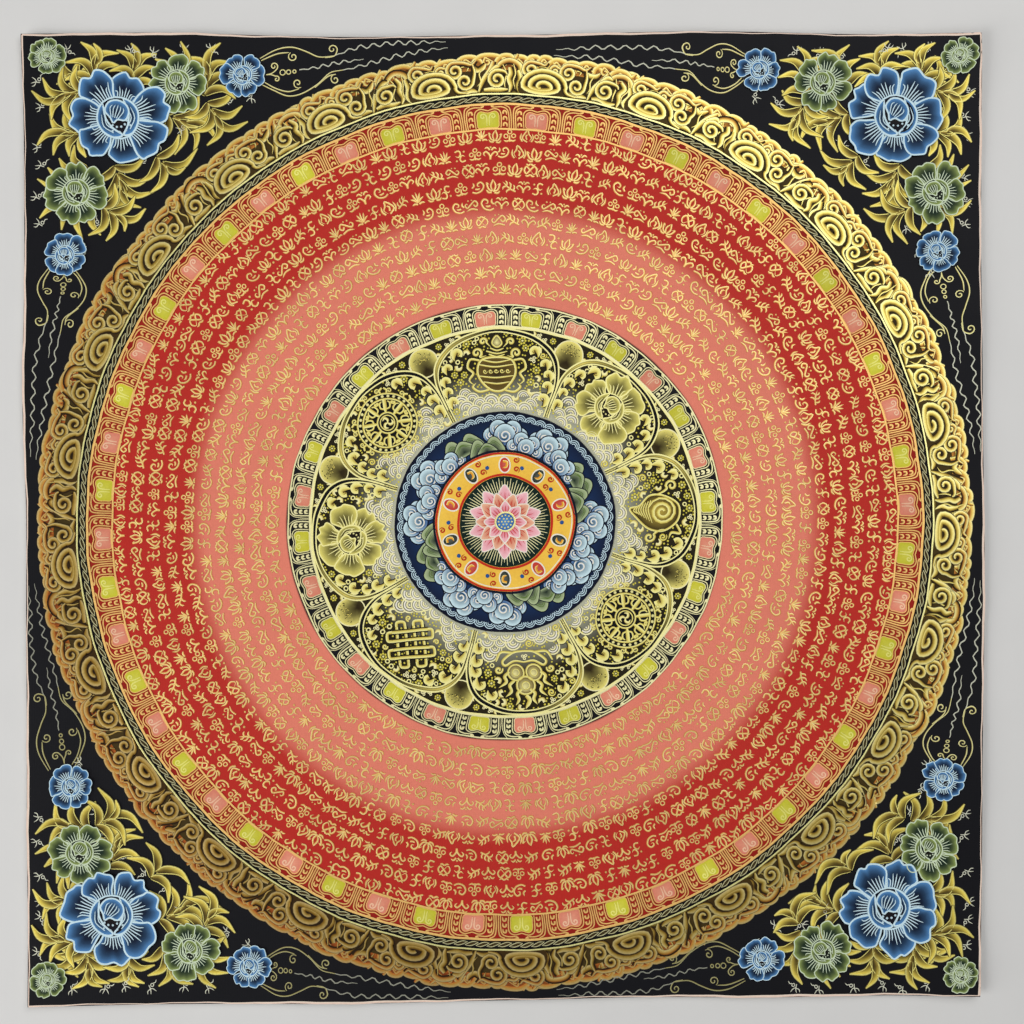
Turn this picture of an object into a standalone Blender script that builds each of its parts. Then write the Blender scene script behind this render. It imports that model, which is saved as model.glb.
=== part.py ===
"""A square painted cotton canvas, cut from its stretcher and lying face up.

The canvas is one closed sheet. Its middle lies flat, and its four cut edges
wander a little and lift off the surface in low cockles. The origin is under
the middle of the sheet, +X is the picture's right and +Y is its top.
"""

from math import cos, exp, pi

import bmesh
import bpy
from mathutils import Vector

# Sizes in metres.
HALF_WIDTH = 0.250
HALF_HEIGHT = 0.253
THICKNESS = 0.001

# The lifted band along each edge, and the flat middle, in steps of the grid.
BAND = 0.050
BAND_STEPS = 8
MIDDLE_STEPS = 24

# Cockles: low waves along the band, and a corner that curls up at the top right.
EDGE_LIFT = 0.0008
COCKLE_HEIGHT = 0.0010
COCKLE_LENGTH = 0.118
COCKLE_PHASES = {"left": 2.9, "right": 0.7, "bottom": 4.4, "top": 1.9}
CURL_HEIGHT = 0.0020
CURL_REACH = 0.032

# How far each cut edge lies outside the true rectangle, at even steps along it:
# the two sides from the top down, and the top and the bottom from left to right.
EDGE_OFFSETS = {
    "left": (0.0018, 0.0002, 0.0004, 0.0011, -0.0006, -0.0009, -0.0010, -0.0015, -0.0017),
    "right": (-0.0007, 0.0001, 0.0000, 0.0009, 0.0015, 0.0017, 0.0005, 0.0004, -0.0012),
    "top": (0.0003, 0.0013, -0.0002, -0.0010, 0.0000, 0.0012, 0.0019, 0.0003, 0.0003),
    "bottom": (0.0019, 0.0006, 0.0005, 0.0000, -0.0014, -0.0030, -0.0030, -0.0039, -0.0039),
}


def smooth_step(share):
    """A rise from 0 to 1 with level ends."""
    held = min(max(share, 0.0), 1.0)
    return held * held * (3.0 - 2.0 * held)


def edge_offset(side, share):
    """How far a side's cut lies outwards at a share of its length, on a smooth curve."""
    offsets = EDGE_OFFSETS[side]
    last = len(offsets) - 1
    place = share * last
    step = min(int(place), last - 1)
    t = place - step
    before, here = offsets[max(step - 1, 0)], offsets[step]
    there, after = offsets[step + 1], offsets[min(step + 2, last)]
    bend = 2.0 * before - 5.0 * here + 4.0 * there - after
    twist = 3.0 * (here - there) + after - before
    return here + 0.5 * t * (there - before + t * (bend + t * twist))


def in_band(x, y):
    """How far into each side's band a place is: 0 in the flat middle, 1 at the true edge."""
    return {
        "left": max(0.0, (BAND - HALF_WIDTH - x) / BAND),
        "right": max(0.0, (BAND - HALF_WIDTH + x) / BAND),
        "bottom": max(0.0, (BAND - HALF_HEIGHT - y) / BAND),
        "top": max(0.0, (BAND - HALF_HEIGHT + y) / BAND),
    }


def cut_place(x, y):
    """Where a place on the true rectangle lies on the cut cloth."""
    across = 0.5 + 0.5 * x / HALF_WIDTH
    down = 0.5 - 0.5 * y / HALF_HEIGHT
    band = in_band(x, y)
    right = band["right"] * edge_offset("right", down) - band["left"] * edge_offset("left", down)
    up = band["top"] * edge_offset("top", across) - band["bottom"] * edge_offset("bottom", across)
    return x + right, y + up


def lift(x, y):
    """How far the cloth's underside is off the surface at a place: nothing in the middle."""
    total = 0.0
    for side, depth in in_band(x, y).items():
        run = y if side in ("left", "right") else x
        wave = 0.5 + 0.5 * cos(2.0 * pi * run / COCKLE_LENGTH + COCKLE_PHASES[side])
        total += (EDGE_LIFT + COCKLE_HEIGHT * wave) * smooth_step(depth)
    reach = Vector((HALF_WIDTH - x, HALF_HEIGHT - y)).length / CURL_REACH
    return total + CURL_HEIGHT * exp(-reach * reach) * smooth_step(2.0 - reach)


def stations(half):
    """The grid's places across the sheet: close together in the two bands."""
    middle = half - BAND
    outer = [-half + BAND * step / BAND_STEPS for step in range(BAND_STEPS)]
    inner = [middle * (2.0 * step / MIDDLE_STEPS - 1.0) for step in range(MIDDLE_STEPS + 1)]
    return outer + inner + [-place for place in reversed(outer)]


def sheet_layer(mesh, height):
    """One face of the sheet as rows of vertices, this high above the cloth's underside."""
    rows = []
    for y in stations(HALF_HEIGHT):
        places = [cut_place(x, y) for x in stations(HALF_WIDTH)]
        rows.append([mesh.verts.new((*place, lift(*place) + height)) for place in places])
    return rows


def rim_of(rows):
    """The layer's edge vertices, once round against the clock seen from above."""
    low = rows[0][:-1]
    right = [line[-1] for line in rows[:-1]]
    high = rows[-1][:0:-1]
    left = [line[0] for line in rows[:0:-1]]
    return low + right + high + left


def make_canvas(material):
    """The cut canvas as one closed sheet."""
    mesh = bmesh.new()
    under = sheet_layer(mesh, 0.0)
    upper = sheet_layer(mesh, THICKNESS)
    for rows, facing_up in ((under, False), (upper, True)):
        for low_row, high_row in zip(rows, rows[1:]):
            for here in range(len(low_row) - 1):
                ring = [low_row[here], low_row[here + 1], high_row[here + 1], high_row[here]]
                mesh.faces.new(ring if facing_up else ring[::-1])
    low_rim, high_rim = rim_of(under), rim_of(upper)
    for here in range(len(low_rim)):
        there = (here + 1) % len(low_rim)
        mesh.faces.new((low_rim[here], low_rim[there], high_rim[there], high_rim[here]))
    data = bpy.data.meshes.new("painted_canvas")
    mesh.to_mesh(data)
    mesh.free()
    data.materials.append(material)
    data.shade_smooth()
    data.set_sharp_from_angle(angle=pi / 4)
    canvas = bpy.data.objects.new("painted_canvas", data)
    bpy.context.scene.collection.objects.link(canvas)
    return canvas


def canvas_material():
    """Primed and painted cotton, in the red that covers most of its middle."""
    material = bpy.data.materials.new("painted_cotton")
    material.use_nodes = True
    shader = material.node_tree.nodes["Principled BSDF"]
    shader.inputs["Base Color"].default_value = (0.30, 0.055, 0.035, 1.0)
    shader.inputs["Roughness"].default_value = 0.7
    shader.inputs["Metallic"].default_value = 0.0
    return material


def main():
    """Clears the scene and builds the canvas."""
    for old in list(bpy.data.objects):
        bpy.data.objects.remove(old)
    make_canvas(canvas_material())


main()
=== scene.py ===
"""The painted mandala canvas, dressed for its picture.

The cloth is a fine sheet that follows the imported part, with its painted ground
in a node material. Every brush stroke and every patch of colour on it is a thin
film of mesh, drawn here in millimetres and laid on the cloth. X is the
picture's right, Y is its top, and the mandala's rings are turned clockwise from
the top.
"""

from __future__ import annotations

import logging
from dataclasses import dataclass, field, replace
from enum import Enum
from math import cos, pi, radians, sin, tau
from typing import Any, Protocol, Sequence

import bpy
import numpy as np
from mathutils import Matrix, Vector


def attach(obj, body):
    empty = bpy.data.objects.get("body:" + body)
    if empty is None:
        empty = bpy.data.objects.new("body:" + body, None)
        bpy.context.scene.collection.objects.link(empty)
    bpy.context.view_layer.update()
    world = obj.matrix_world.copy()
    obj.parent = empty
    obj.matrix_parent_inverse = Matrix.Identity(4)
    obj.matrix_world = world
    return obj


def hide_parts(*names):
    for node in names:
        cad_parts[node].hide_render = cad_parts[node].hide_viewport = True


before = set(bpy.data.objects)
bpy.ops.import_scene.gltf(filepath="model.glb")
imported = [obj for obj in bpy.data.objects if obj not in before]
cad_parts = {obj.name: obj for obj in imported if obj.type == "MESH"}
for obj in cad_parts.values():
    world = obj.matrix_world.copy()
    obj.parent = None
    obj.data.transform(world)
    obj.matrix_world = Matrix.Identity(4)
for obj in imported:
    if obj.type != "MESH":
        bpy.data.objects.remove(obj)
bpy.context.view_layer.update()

log = logging.getLogger("thangka")

MM = 0.001
CENTRE = np.array([1, -1.6])  # the mandala's centre on the sheet, in mm


# ---------------------------------------------------------------- paints


def paint(red: int, green: int, blue: int, gilt: float = 0) -> np.ndarray:
    """A paint from its colour on a screen.

    Args:
        red, green, blue: The colour, from 0 to 255.
        gilt: How much of it is powdered gold, from 0 to 1.

    Returns:
        Linear red, green and blue, and the gilt.
    """
    screen = np.array([red, green, blue]) / 255
    linear = np.where(screen <= 0.04045, screen / 12.92, ((screen + 0.055) / 1.055) ** 2.4)
    return np.append(linear, gilt)


def blend(first: np.ndarray, second: np.ndarray, share: float) -> np.ndarray:
    """The paint that lies a share of the way from the first to the second."""
    return first + (second - first) * share


LEMON = paint(255, 246, 168, 0.78)
GOLD = paint(240, 220, 112, 0.80)
OCHRE = paint(190, 164, 70, 0.70)
BRONZE = paint(110, 88, 38, 0.50)
UMBER = paint(44, 34, 16, 0.10)
SOOT = paint(13, 13, 15)
IVORY = paint(244, 238, 220)
SILVER = paint(222, 222, 200, 0.30)
PALE_GOLD = paint(250, 242, 184, 0.45)
YELLOW = paint(232, 218, 88, 0.5)
HOLLOW = paint(28, 20, 10, 0)
FLAME = paint(220, 132, 58, 0.20)
RUST = paint(140, 52, 22)
SALMON = paint(226, 132, 108)
BLUSH = paint(246, 196, 160)
CHARTREUSE = paint(206, 200, 50)
LIME = paint(238, 232, 124)
AMBER = paint(252, 204, 122, 0.50)
AZURE = paint(92, 150, 208)
COBALT = paint(44, 92, 160)
MIDNIGHT = paint(11, 17, 36)
ICE = paint(206, 232, 240)
MOSS = paint(158, 176, 98)
OLIVE = paint(92, 118, 52)
PINE = paint(16, 36, 30)
MINT = paint(208, 222, 190)
TEAL = paint(20, 66, 92)
ROSE = paint(226, 112, 130)
PETAL_PINK = paint(250, 200, 204)
SAFFRON = paint(240, 166, 40)
VERMILION = paint(200, 46, 30)
GARNET = paint(158, 34, 24)
OXBLOOD = paint(150, 30, 22)
COPPER = paint(206, 130, 66, 0.3)
BUTTER = paint(248, 224, 98, 0.5)
CORN = paint(250, 236, 130, 0.5)
HUSK = paint(46, 35, 12)
CROCUS = paint(250, 206, 84)


# ---------------------------------------------------------------- paths

Path2 = np.ndarray
Knot = tuple[float, float]


def curve(*knots: Knot, steps: int = 5, closed: bool = False) -> Path2:
    """A smooth path through some knots.

    Args:
        knots: The places that it passes, in mm.
        steps: The points from one knot to the next.
        closed: Whether it comes round to its first knot again.

    Returns:
        The path's points, one a row. A closed path leaves its first point out at the end.
    """
    held = np.array(knots, dtype=float)
    if closed:
        before, after = np.roll(held, 1, axis=0), np.roll(held, -1, axis=0)
        later = np.roll(held, -2, axis=0)
        start = held
    else:
        ends = np.vstack([2 * held[0] - held[1], held, 2 * held[-1] - held[-2]])
        before, start, after, later = ends[:-3], ends[1:-2], ends[2:-1], ends[3:]
    t = (np.arange(steps) / steps)[None, :, None]
    before, start, after, later = (row[:, None, :] for row in (before, start, after, later))
    bend = 2 * before - 5 * start + 4 * after - later
    twist = 3 * (start - after) + later - before
    points = start + 0.5 * t * (after - before + t * (bend + t * twist))
    points = points.reshape(-1, 2)
    return points if closed else np.vstack([points, held[-1]])


def circle(x: float, y: float, radius: float, count: int = 12) -> Path2:
    """The points of a round outline, against the clock."""
    turn = np.arange(count) / count * tau
    return np.stack([x + radius * np.cos(turn), y + radius * np.sin(turn)], axis=1)


def spiral(
    x: float, y: float, size: float, leave: float, turns: float, up: float = 1, down: float = 1.0
) -> Path2:
    """A scroll from its eye outwards.

    Args:
        x, y: The eye.
        size: The radius of its outer end.
        leave: The direction from the eye to the outer end, in degrees against the clock.
        turns: How often it goes round, negative with the clock.
        up, down: How tall it is above and below its eye, as a share of its width.

    Returns:
        The path's points.
    """
    count = max(6, int(abs(turns) * (13 if size < 8 else 20)))
    share = np.linspace(0, 1, count)
    angle = radians(leave) - turns * tau * (1 - share)
    radius = size * (0.13 + 0.87 * share)
    rise = radius * np.sin(angle)
    return np.stack([x + radius * np.cos(angle), y + rise * np.where(rise > 0, up, down)], axis=1)


def trail(path: Path2, *knots: Knot) -> Path2:
    """The path carried on smoothly through more knots."""
    tail = curve(tuple(path[-2]), tuple(path[-1]), *knots, steps=4)
    return np.vstack([path[:-2], tail])


def zigzag(path: Path2, height: float, wave: float) -> Path2:
    """Makes a path a wavy line, which dies out at its ends.

    Args:
        path: The path.
        height, wave: How high and how long the waves are.

    Returns:
        The wavy line.
    """
    step = np.diff(path, axis=0)
    run = np.append(0, np.cumsum(np.hypot(step[:, 0], step[:, 1])))
    even = np.linspace(0, run[-1], max(4, int(run[-1] / wave * 5)))
    line = np.stack([np.interp(even, run, path[:, 0]), np.interp(even, run, path[:, 1])], axis=1)
    calm = np.minimum(1, np.minimum(even, run[-1] - even) / (2 * wave))
    return line + sideways(line) * (height * calm * np.sin(even / wave * tau))[:, None]


def sideways(path: Path2) -> Path2:
    """The unit direction to the left of a path at each of its points."""
    step = np.gradient(path, axis=0)
    return np.stack([-step[:, 1], step[:, 0]], axis=1) / np.maximum(np.hypot(*step.T), 1e-9)[:, None]


# ---------------------------------------------------------------- places


class Place(Protocol):
    """Somewhere that a motif is laid."""

    mirror: bool

    def lay(self, flat: Path2) -> Path2:
        """Where the motif's points come to on the sheet."""


@dataclass(frozen=True)
class Spot:
    """A flat place: the motif is mirrored, scaled, turned against the clock, then moved."""

    x: float = 0.0
    y: float = 0.0
    turn: float = 0.0
    size: float = 1.0
    mirror: bool = False

    def lay(self, flat: Path2) -> Path2:
        """Where the motif's points come to on the sheet."""
        c, s, x = cos(radians(self.turn)), sin(radians(self.turn)), (-1) ** self.mirror
        return np.array([self.x, self.y]) + self.size * flat @ np.array([[x * c, x * s], [-s, c]])


def around_centre(turn: np.ndarray, out: np.ndarray) -> Path2:
    """Places at turns clockwise from the top, in radians, this far from the mandala's centre."""
    return CENTRE + np.stack([out * np.sin(turn), out * np.cos(turn)], axis=1)


@dataclass(frozen=True)
class RingSpot:
    """A place on a ring round the mandala's centre, which bends the motif to the ring.

    The angle is in degrees clockwise from the top. The motif's X runs clockwise
    and its Y runs outwards from the radius.
    """

    angle: float
    radius: float
    size: float = 1.0
    mirror: bool = False

    def lay(self, flat: Path2) -> Path2:
        """Where the motif's points come to on the sheet."""
        x, y = (self.size * flat * ((-1) ** self.mirror, 1)).T
        return around_centre(radians(self.angle) + x / self.radius, self.radius + y)


def on_ring(angle: float, radius: float, size: float = 1, tilt: float = 0) -> Spot:
    """A flat place on a ring, its Y outwards, turned by the tilt as well."""
    x, y = CENTRE + radius * np.array([sin(radians(angle)), cos(radians(angle))])
    return Spot(x, y, tilt - angle, size)


# ---------------------------------------------------------------- film


# A line along a ribbon: its share of the half width to the left, how far it lies beyond that, its paint
# and how high it lies.
Row = tuple[float, float, Any, float]


@dataclass(frozen=True)
class Brush:
    """A loaded brush.

    Width is in mm. Left, middle and right are the paints across the stroke, and
    start and end the shares of the width that its two ends have. Lift is how high
    its edges lie over the cloth, and crest how much its middle stands over them.
    """

    width: float
    middle: np.ndarray
    left: np.ndarray | None = None
    right: np.ndarray | None = None
    start: float = 0.5
    end: float = 0.2
    lift: float = 0.14
    crest: float = 0.05

    def rows(self) -> tuple[Row, ...]:
        """The lines of its stroke from left to right."""
        left, right = (self.middle if ink is None else ink for ink in (self.left, self.right))
        return (1, 0, left, self.lift), (0, 0, self.middle, self.lift + self.crest), (-1, 0, right, self.lift)


@dataclass
class Film:
    """A thin layer of paint: places in mm, how high they lie, their paints, and triangles."""

    places: list[np.ndarray] = field(default_factory=list)
    lifts: list[np.ndarray] = field(default_factory=list)
    paints: list[np.ndarray] = field(default_factory=list)
    faces: list[np.ndarray] = field(default_factory=list)
    count: int = 0

    def _take(self, places: np.ndarray, lifts: Any, paints: np.ndarray, faces: np.ndarray) -> None:
        """Adds points and the triangles between them.

        Args:
            places, lifts, paints: The points, how high they lie and their paints.
            faces: The triangles, by the numbers of their points.
        """
        self.places.append(places)
        self.lifts.append(np.broadcast_to(np.asarray(lifts, dtype=float), len(places)))
        self.paints.append(np.broadcast_to(paints, (len(places), 4)))
        self.faces.append(faces + self.count)
        self.count += len(places)

    def strip(
        self, rows: Sequence[Path2], paints: Sequence[np.ndarray], lifts: Sequence[float]
    ) -> None:
        """Paints between neighbouring lines.

        Args:
            rows: Lines of equally many points, from the left one to the right one.
            paints: Each line's paint, or its paint at every point.
            lifts: How high each line lies.
        """
        n, k = len(rows[0]), len(rows)
        here = (np.arange(k - 1)[:, None] * n + np.arange(n - 1)).ravel()
        corners = np.stack([here, here + n, here + n + 1, here + 1], axis=1)
        faces = np.vstack([corners[:, [0, 1, 2]], corners[:, [0, 2, 3]]])
        colours = np.vstack([np.broadcast_to(p, (n, 4)) for p in paints])
        self._take(np.vstack(rows), np.repeat(lifts, n), colours, faces)

    def ribbon(self, path: Path2, width: float, start: float, end: float, rows: Sequence[Row]) -> None:
        """Paints a band along a path that swells between its two ends.

        Args:
            path, width: Its middle line, and its width where it is widest.
            start, end: The shares of that width that its ends have.
            rows: The lines along it from left to right.
        """
        t = np.linspace(0, 1, len(path))
        swell = np.sin(0.5 * pi * np.minimum(1, np.minimum(t, 1 - t) / 0.38))
        ends = np.where(t < 0.5, start, end)
        half = 0.5 * width * (ends + (1 - ends) * swell)[:, None]
        left = sideways(path)
        lines = [path + left * (half * share + beyond) for share, beyond, _, _ in rows]
        self.strip(lines, [row[2] for row in rows], [row[3] for row in rows])

    def stroke(self, path: Path2, brush: Brush) -> None:
        """One stroke of a brush along a path."""
        self.ribbon(path, brush.width, brush.start, brush.end, brush.rows())

    def patch(
        self,
        outline: Path2,
        heart: Knot,
        inner: np.ndarray,
        rim: np.ndarray,
        rings: Sequence[float] = (0.5, 1),
        lift: float = 0.08,
        dome: float = 0.02,
        hold: float = 1,
    ) -> None:
        """A patch of colour that changes from its heart to its rim.

        Args:
            outline: Its closed outline.
            heart: The place that its shading starts from, inside the outline.
            inner: The paint there.
            rim: The outline's paint, or its paint at every point.
            rings: The shares of the way out that have points.
            lift: How high its rim lies.
            dome: How much its heart stands over the rim.
            hold: How long the inner paint holds on the way out, 1 for an even change.
        """
        n = len(outline)
        rims = np.broadcast_to(rim, (n, 4))
        ahead = np.roll(outline, -1, axis=0)
        if np.sum(outline[:, 0] * ahead[:, 1] - ahead[:, 0] * outline[:, 1]) < 0:
            outline, rims = outline[::-1], rims[::-1]
        eye = np.array(heart, dtype=float)
        places = np.vstack([eye, *(eye + (outline - eye) * share for share in rings)])
        inks = np.vstack([inner, *(inner + (rims - inner) * share**hold for share in rings)])
        lifts = lift + dome * (1 - np.append(0, np.repeat(rings, n)) ** 2)
        here = np.arange(n)
        ahead = np.roll(here, -1)
        faces = [np.stack([np.zeros(n, int), here + 1, ahead + 1], axis=1)]
        for ring in range(len(rings) - 1):
            a, b = 1 + ring * n, 1 + (ring + 1) * n
            faces.append(np.stack([a + here, b + here, b + ahead], axis=1))
            faces.append(np.stack([a + here, b + ahead, a + ahead], axis=1))
        self._take(places, lifts, inks, np.vstack(faces))

    def lines(self, brush: Brush, *paths: Path2) -> None:
        """A stroke of one brush along each path."""
        for path in paths:
            self.stroke(path, brush)

    def loop(self, outline: Path2, brush: Brush) -> None:
        """A stroke all the way round a closed outline."""
        self.stroke(np.vstack([outline, outline[:1]]), replace(brush, start=1, end=1))

    def both(self, half: Film) -> None:
        """Adds a motif and its mirror image."""
        self.add(half, Spot())
        self.add(half, Spot(mirror=True))

    def dot(self, x: float, y: float, radius: float, ink: np.ndarray, lift: float = 0.16) -> None:
        """A round dot of thick paint, its rim painted darker than its middle as painted shade round its dome.
        """
        # Painted shade: the rim is the dot's own paint made darker.
        rim = ink * np.array([0.72, 0.72, 0.72, 1])
        self.patch(circle(x, y, radius, 7), (x, y), ink, rim, (1,), lift, 0.12 * radius)

    def ring(self, x: float, y: float, radius: float, brush: Brush, count: int = 14) -> None:
        """A round stroke that closes on itself."""
        self.loop(circle(x, y, radius, count), brush)

    def add(self, motif: Film, place: Place, raised: float = 0, shade: float | np.ndarray = 1) -> None:
        """Lays a motif at a place.

        Args:
            motif: What is laid.
            place: Where.
            raised: How much higher than drawn, in mm.
            shade: How bright its paints come out, in all or in red, green and blue.
        """
        offset = self.count
        for places, lifts, paints, faces in zip(motif.places, motif.lifts, motif.paints, motif.faces):
            self.places.append(place.lay(places))
            self.lifts.append(lifts + raised)
            self.paints.append(paints * np.append(np.ones(3) * shade, 1))
            self.faces.append((faces[:, ::-1] if place.mirror else faces) + offset)
        self.count += motif.count

    def packed(self) -> Film:
        """The same film as single arrays, which is quicker to lay many times."""
        parts = (self.places, self.lifts, self.paints, self.faces)
        return Film(*([np.concatenate(part)] for part in parts), self.count)

    def disc(
        self,
        radius: float,
        inner: np.ndarray,
        rim: np.ndarray,
        rings: Sequence[float],
        lift: float,
        count: int = 60,
    ) -> None:
        """A flat round patch about the middle."""
        self.patch(circle(0, 0, radius, count), (0, 0), inner, rim, rings, lift, 0)

    def around(self, motif: Film, count: int, first: float = 0, raised: Sequence[float] = (0,)) -> None:
        """Lays a motif round the middle.

        Args:
            motif: What is laid.
            count: How often.
            first: The first one's turn, in degrees.
            raised: How much higher than drawn one after the other is, again and again.
        """
        for step in range(count):
            self.add(motif, Spot(turn=first + step * 360 / count), raised[step % len(raised)])

    def studs(self, count: int, out: float, radius: float, ink: np.ndarray, lift: float = 0.16) -> None:
        """Lays dots round the middle, this far out."""
        for x, y in circle(0, 0, out, count):
            self.dot(x, y, radius, ink, lift)


# ---------------------------------------------------------------- cloth


@dataclass(frozen=True)
class Cloth:
    """The cut cloth's outline and its low cockles, in mm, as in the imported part."""

    half_width: float = 250.0
    half_height: float = 253.0
    thickness: float = 1.0
    band: float = 50.0
    edge_lift: float = 0.8
    cockle: float = 1.0
    cockle_length: float = 118.0
    curl: float = 2.0
    curl_reach: float = 32.0
    phases: tuple[float, float, float, float] = (2.9, 0.7, 4.4, 1.9)
    left: tuple[float, ...] = (1.8, 0.2, 0.4, 1.1, -0.6, -0.9, -1, -1.5, -1.7)
    right: tuple[float, ...] = (-0.7, 0.1, 0, 0.9, 1.5, 1.7, 0.5, 0.4, -1.2)
    top: tuple[float, ...] = (0.3, 1.3, -0.2, -1, 0, 1.2, 1.9, 0.3, 0.3)
    bottom: tuple[float, ...] = (1.9, 0.6, 0.5, 0, -1.4, -3, -3, -3.9, -3.9)

    def _depths(self, x: np.ndarray, y: np.ndarray) -> list[np.ndarray]:
        """How far into the left, right, bottom and top bands places are, from 0 to 1."""
        reaches = (-x - self.half_width, x - self.half_width, -y - self.half_height, y - self.half_height)
        return [np.maximum(0, (self.band + reach) / self.band) for reach in reaches]

    @staticmethod
    def _offset(offsets: Sequence[float], share: np.ndarray) -> np.ndarray:
        """A side's outward offset at shares of its length, on a smooth curve."""
        line = curve(*((float(i), value) for i, value in enumerate(offsets)), steps=12)
        return np.interp(share * (len(offsets) - 1), line[:, 0], line[:, 1])

    def cut(self, x: np.ndarray, y: np.ndarray) -> tuple[np.ndarray, np.ndarray]:
        """Moves places from the true rectangle to the cut cloth.

        Args:
            x, y: The places.

        Returns:
            Where they lie.
        """
        across = 0.5 + 0.5 * x / self.half_width
        down = 0.5 - 0.5 * y / self.half_height
        left, right, bottom, top = self._depths(x, y)
        to_right = right * self._offset(self.right, down) - left * self._offset(self.left, down)
        to_top = top * self._offset(self.top, across) - bottom * self._offset(self.bottom, across)
        return x + to_right, y + to_top

    def lift(self, x: np.ndarray, y: np.ndarray) -> np.ndarray:
        """Works out how far the cloth's underside is off the surface.

        Args:
            x, y: Where.

        Returns:
            The distances.
        """
        total = np.zeros_like(x)
        for depth, run, phase in zip(self._depths(x, y), (y, y, x, x), self.phases):
            held = np.clip(depth, 0, 1)
            wave = 0.5 + 0.5 * np.cos(tau * run / self.cockle_length + phase)
            total += (self.edge_lift + self.cockle * wave) * held * held * (3 - 2 * held)
        reach = np.hypot(self.half_width - x, self.half_height - y) / self.curl_reach
        near = np.clip(2 - reach, 0, 1)
        return total + self.curl * np.exp(-reach * reach) * near * near * (3 - 2 * near)

    def face(self, x: np.ndarray, y: np.ndarray) -> np.ndarray:
        """The height of the painted face."""
        return self.lift(x, y) + self.thickness

    def map_place(self, x: np.ndarray, y: np.ndarray) -> np.ndarray:
        """Places on the square map that the looks are stored on."""
        span = 2 * (self.half_height + 3)
        return np.stack([0.5 + x / span, 0.5 + y / span], axis=1)


def make_mesh(
    name: str, points: np.ndarray, faces: np.ndarray, spread: np.ndarray, finishes: Sequence[Finish]
) -> bpy.types.Object:
    """Makes a piece of the painting.

    Args:
        name: The piece's name.
        points, faces: Its points in mm, and its faces of three or four points, one a row.
        spread: Each point's place on its map.
        finishes: The finishes that it is dressed in.

    Returns:
        The new object, which rides on the part's one body.
    """
    mesh = bpy.data.meshes.new(name)
    mesh.vertices.add(len(points))
    mesh.vertices.foreach_set("co", (points * MM).astype(np.float32).ravel())
    sides = faces.shape[1]
    mesh.loops.add(faces.size)
    mesh.loops.foreach_set("vertex_index", faces.astype(np.int32).ravel())
    mesh.polygons.add(len(faces))
    mesh.polygons.foreach_set("loop_start", np.arange(len(faces), dtype=np.int32) * sides)
    mesh.update(calc_edges=True)
    layer = mesh.uv_layers.new(name="OFBake")
    layer.data.foreach_set("uv", spread[faces.ravel()].astype(np.float32).ravel())
    mesh.shade_smooth()
    for finish in finishes:
        mesh.materials.append(finish.material())
    piece = bpy.data.objects.new(name, mesh)
    bpy.context.scene.collection.objects.link(piece)
    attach(piece, "root")
    return piece


def lay_film(name: str, film: Film, cloth: Cloth, gilding: float = 1) -> bpy.types.Object:
    """Lays a film on the cloth as a piece, with the small unsteadiness of a hand.

    Args:
        name, film, cloth: The piece's name, its paint and what it lies on.
        gilding: How much of the drawn gilt its paints keep.

    Returns:
        The piece.
    """
    whole = film.packed()
    flat, lifts, paints = whole.places[0], whole.lifts[0], whole.paints[0] * (1, 1, 1, gilding)
    x, y = flat[:, 0], flat[:, 1]
    sway = 0.22 * np.sin(0.13 * y + 0.9) + 0.13 * np.sin(0.31 * y + 0.21 * x)
    rise = 0.22 * np.sin(0.12 * x + 2.1) + 0.13 * np.sin(0.29 * x - 0.23 * y)
    x, y = x + sway, y + rise
    points = np.stack([x, y, cloth.face(x, y) + lifts], axis=1)
    piece = make_mesh(name, points, whole.faces[0], cloth.map_place(x, y), [PaintFinish()])
    colour = piece.data.color_attributes.new("paint", "FLOAT_COLOR", "POINT")
    colour.data.foreach_set("color", np.clip(paints, 0, 1).astype(np.float32).ravel())
    return piece


# ---------------------------------------------------------------- finishes

PAINT_SHEEN = 0.12
STAIN = (0.45, 0.30, 0.22, 1)


class Finish(Protocol):
    """What a piece is dressed in."""

    def material(self) -> bpy.types.Material:
        """The finish as a material."""


class Value:
    """A number that varies over a surface, for sums in a material."""

    def __init__(self, recipe: Recipe, socket: bpy.types.NodeSocket) -> None:
        """Wraps a socket of the recipe's tree."""
        self.recipe, self.socket = recipe, socket

    def _math(self, operation: str, first: Any, second: Any) -> Value:
        """A Math node on two numbers or values."""
        return self.recipe.value("ShaderNodeMath", {"operation": operation}, {0: first, 1: second})

    def __add__(self, other: Any) -> Value:
        """This plus the other."""
        return self._math("ADD", self, other)

    __radd__ = __add__

    def __sub__(self, other: Any) -> Value:
        """This less the other."""
        return self._math("SUBTRACT", self, other)

    def __rsub__(self, other: Any) -> Value:
        """The other less this."""
        return self._math("SUBTRACT", other, self)

    def __mul__(self, other: Any) -> Value:
        """This times the other."""
        return self._math("MULTIPLY", self, other)

    __rmul__ = __mul__

    def __truediv__(self, other: Any) -> Value:
        """This over the other."""
        return self._math("DIVIDE", self, other)


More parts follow.
